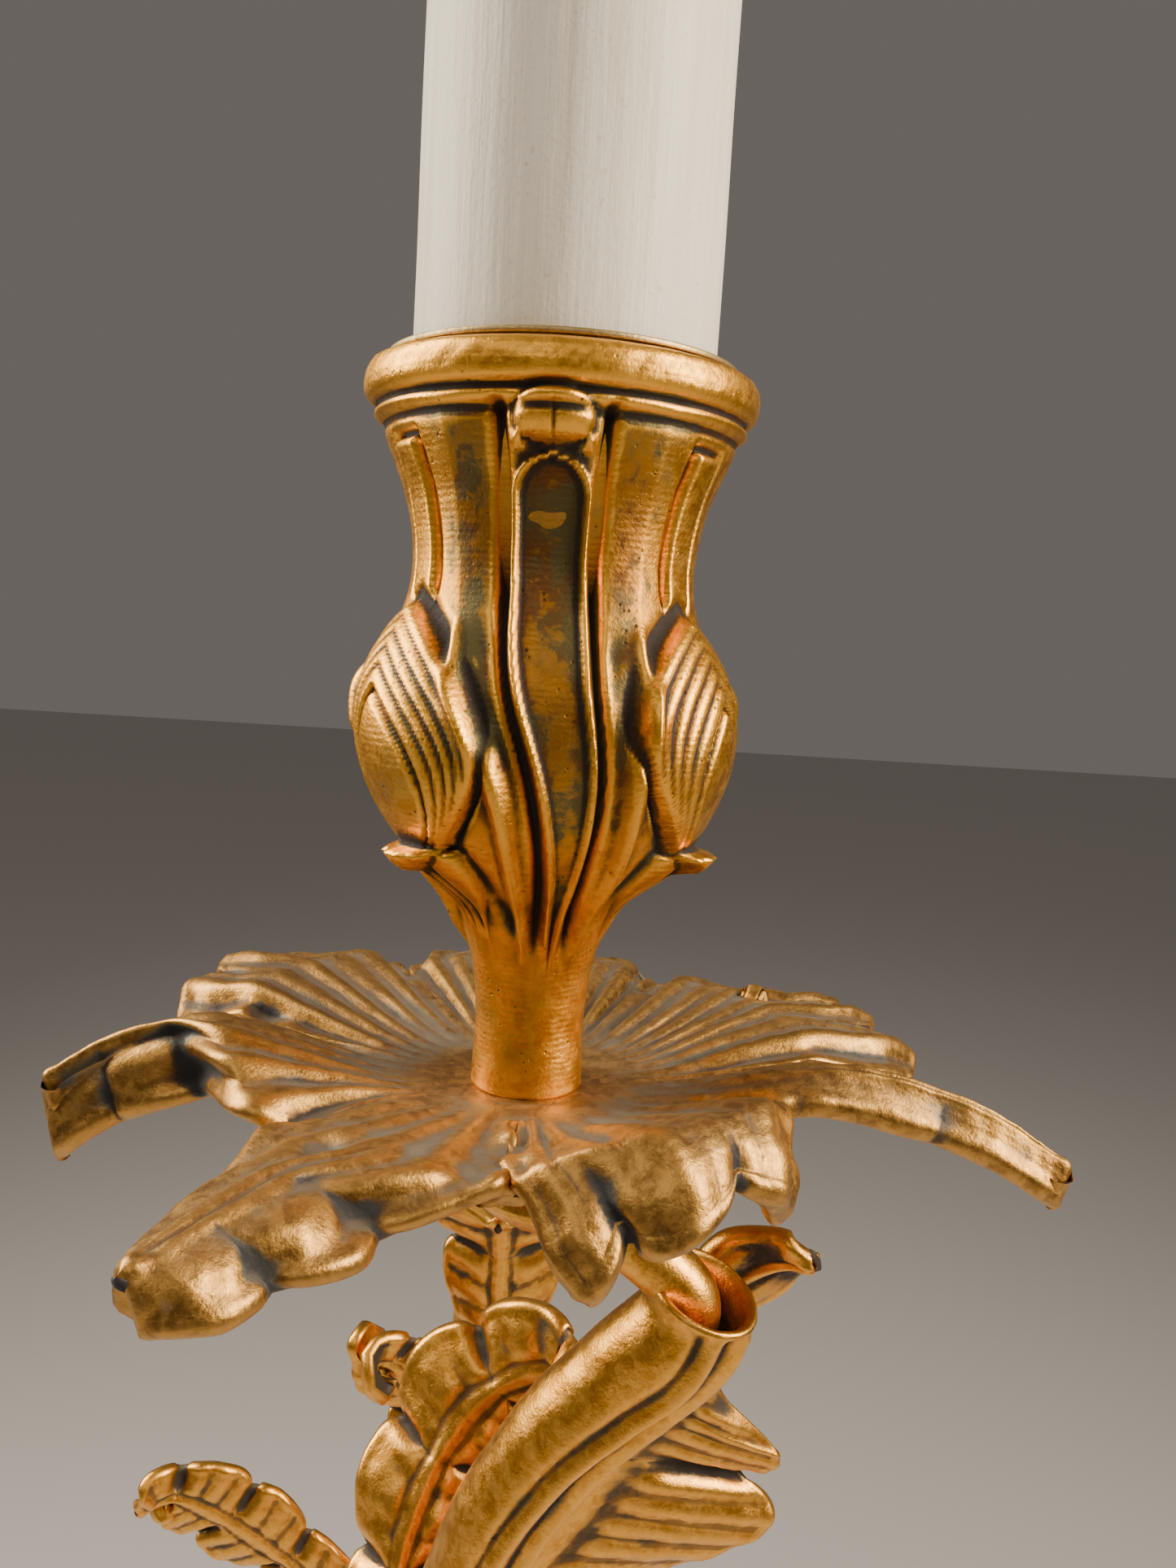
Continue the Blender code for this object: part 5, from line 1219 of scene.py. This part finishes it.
def turned_to_room(profile, columns, centre_x, centre_z, gadroons=0, depth=0.0, closed=False):
    """Points and faces of a piece turned about a line square to the wall, from (radius, distance)."""
    profile = np.array(profile, float)
    angles = np.arange(columns) * 2 * math.pi / columns
    radii = np.repeat(profile[:, :1], columns, axis=1)
    if gadroons:
        swell = np.sqrt(np.abs(np.sin(angles * gadroons / 2))) - 0.8
        radii = radii + depth * swell * step(5.0, 6.5, profile[:, 1:]) * step(12.2, 11.0, profile[:, 1:]) * (
            profile[:, :1] > 6.5)
    points = np.stack([centre_x + radii * np.cos(angles), -np.repeat(profile[:, 1:], columns, axis=1),
                       centre_z + radii * np.sin(angles)], axis=-1).reshape(-1, 3)
    faces = wrapped_faces(len(profile), columns)
    if closed:
        last = (len(profile) - 1) * columns
        faces += [(last + i, last + (i + 1) % columns, (i + 1) % columns, i) for i in range(columns)]
    return points, faces


cutters = []
for height, radius in [(BOSS_HEIGHT_Z, RECESS_RADIUS)] + [(z, WALL_HOLE_RADIUS) for z in WALL_HOLES]:
    points, faces = turned_to_room(((radius, -5), (radius, 12)), 64, 0, height)
    faces += [list(range(63, -1, -1)), list(range(64, 128))]
    cutter = bpy.data.objects.new("plate_cutter", mesh_of("plate_cutter", points * MM, faces))
    bpy.context.scene.collection.objects.link(cutter)
    bore = plate.modifiers.new("bore", "BOOLEAN")
    bore.operation, bore.solver, bore.object = "DIFFERENCE", "EXACT", cutter
    cutters.append(cutter)
bpy.context.view_layer.update()
graph = bpy.context.evaluated_depsgraph_get()
plate_mesh = bpy.data.meshes.new_from_object(plate.evaluated_get(graph), depsgraph=graph)
for made in cutters + [plate]:
    bpy.data.objects.remove(made)
boss_profile = [(BOSS_RADIUS, 2.0), (BOSS_RADIUS, 4.6), (14.8, 5.0), (14.0, 5.6), (13.4, 6.4), (13.3, 7.2),
                (13.8, 8.0), (14.1, 8.9), (14.0, 9.8), (13.4, 10.8), (12.4, 11.6), (11.6, 12.2), (11.2, 12.8),
                (10.8, BOSS_TOP), (BOLT_BORE, BOSS_TOP), (BOLT_BORE, RECESS_DEPTH),
                (RECESS_RADIUS, RECESS_DEPTH), (RECESS_RADIUS, 2.0)]
boss_points, boss_faces = turned_to_room(boss_profile, 144, 0, BOSS_HEIGHT_Z, 18, 0.7, closed=True)
boss_mesh = mesh_of("boss", boss_points * MM, boss_faces)
joined = bmesh.new()
joined.from_mesh(plate_mesh)
joined.from_mesh(boss_mesh)
bmesh.ops.recalc_face_normals(joined, faces=joined.faces)
joined.to_mesh(plate_mesh)
joined.free()
plate_mesh.shade_smooth()
plate_mesh.set_sharp_from_angle(angle=math.radians(50))
keep_relief(plate_mesh, near_mm=0.06, far_mm=0.40)
plate_gilding = gilding("plate_gilding", (0.90, 0.46, 0.08), (0.60, 0.27, 0.03), (0.20, 0.085, 0.025),
                        (0.026, 0.016, 0.009), (0.17, 0.12, 0.05), wear=0.55, pits=0.2, dust=0.2, crease=0.6,
                        matt_base=0.26)
add_piece("plate_cast", plate_mesh, plate_gilding, "branch", "gilt_dull", "wall_plate")

BOLT_FAR, BOLT_NEAR = 20.7, 1.0
points, faces = threaded_rod(2.5, 0.9, BOLT_FAR, BOLT_NEAR)
points = np.stack([points[:, 0], -points[:, 2], points[:, 1] + BOSS_HEIGHT_Z * MM], axis=1)
add_piece("bolt_threaded", mesh_of("bolt", points, faces), old_iron, "branch", "iron", "branch_bolt")
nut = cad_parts["branch_nut"]
nut.data.materials.clear()
nut.data.materials.append(old_iron)


# ---------------------------------------------------------------- leaves on the plate
# A tall crest leaf, a smaller one each side of it, a long one that sweeps out to the left and one hanging
# at the tail, all cast like the leaves on the branch and riveted to the plate.

# Each leaf: midrib, the way across it, half width, lobes and how far along it its rivet is
PLATE_LEAVES = {
    "crest_leaf": (((0, -6.6, 52), (0, -6.6, 66), (0, -10, 82), (0, -15, 96), (0, -22, 104), (0, -27, 101)),
                   (-1, 0, 0), 12.5, 4, 0.15),
    "left_crest_leaf": (((-9, -6.6, 28), (-8.5, -6.6, 40), (-9.5, -10.5, 54), (-13.5, -15.5, 67),
                         (-18, -19.5, 74), (-22, -19.5, 71)), (-1, 0, -0.35), 9.2, 4, 0.13),
    "right_crest_leaf": (((9, -6.6, 28), (10, -6.6, 40), (12.5, -9.5, 53), (16.5, -13, 64), (21, -16, 70),
                          (24, -16, 67)), (-1, 0, 0.35), 7.2, 4, 0.13),
    "side_leaf": (((-18, -6.6, 8), (-25, -7.5, 19), (-34, -12, 31), (-43, -17, 42), (-51, -21, 49),
                   (-57, -23, 47)),
                  (-0.78, 0, -0.62), 9.5, 5, 0.10),
    "tail_leaf": (((0, -6.6, -62), (0, -6.6, -76), (0, -9, -90), (0, -13, -102), (0, -18, -108),
                   (0, -22, -106)),
                  (1, 0, 0), 10.0, 4, 0.14),
}
PLATE_LEAF_NOTCH, PLATE_LEAF_CROWN, PLATE_LEAF_PUFF, PLATE_LEAF_SWEEP = 0.32, 0.22, 0.9, 0.5
RIVET_RADIUS, RIVET_HEAD_RADIUS, RIVET_HEAD = 1.2, 2.3, 1.1
rivet_feet, rivet_lengths = [], []
for name, (spine, side, half_width, lobes, rivet_at) in PLATE_LEAVES.items():
    mesh = acanthus(name, np.array(spine, float), side, half_width, lobes, PLATE_LEAF_NOTCH, PLATE_LEAF_CROWN,
                    PLATE_LEAF_PUFF, PLATE_LEAF_SWEEP)
    add_piece(name + "_cast", mesh, plate_gilding, "branch", "gilt_dull", name)
    at = curve(np.array(spine, float), np.array([rivet_at]))[0]
    rivet_feet.append((at[0] * MM, -0.5 * MM, at[2] * MM))
    rivet_lengths.append(-at[1] + PLATE_LEAF_CROWN * half_width * 0.5 + 0.6 - 0.5)
rivets = headed_pins("plate_rivets", rivet_feet, [(0, -1, 0)] * len(rivet_feet), np.array(rivet_lengths) * MM,
                     RIVET_RADIUS * MM, RIVET_HEAD_RADIUS * MM, RIVET_HEAD * MM, plate_gilding)
add_piece("plate_rivets_headed", rivets, plate_gilding, "branch", "gilt_dull",
          *[name.replace("leaf", "rivet") for name in PLATE_LEAVES])

bpy.context.view_layer.update()
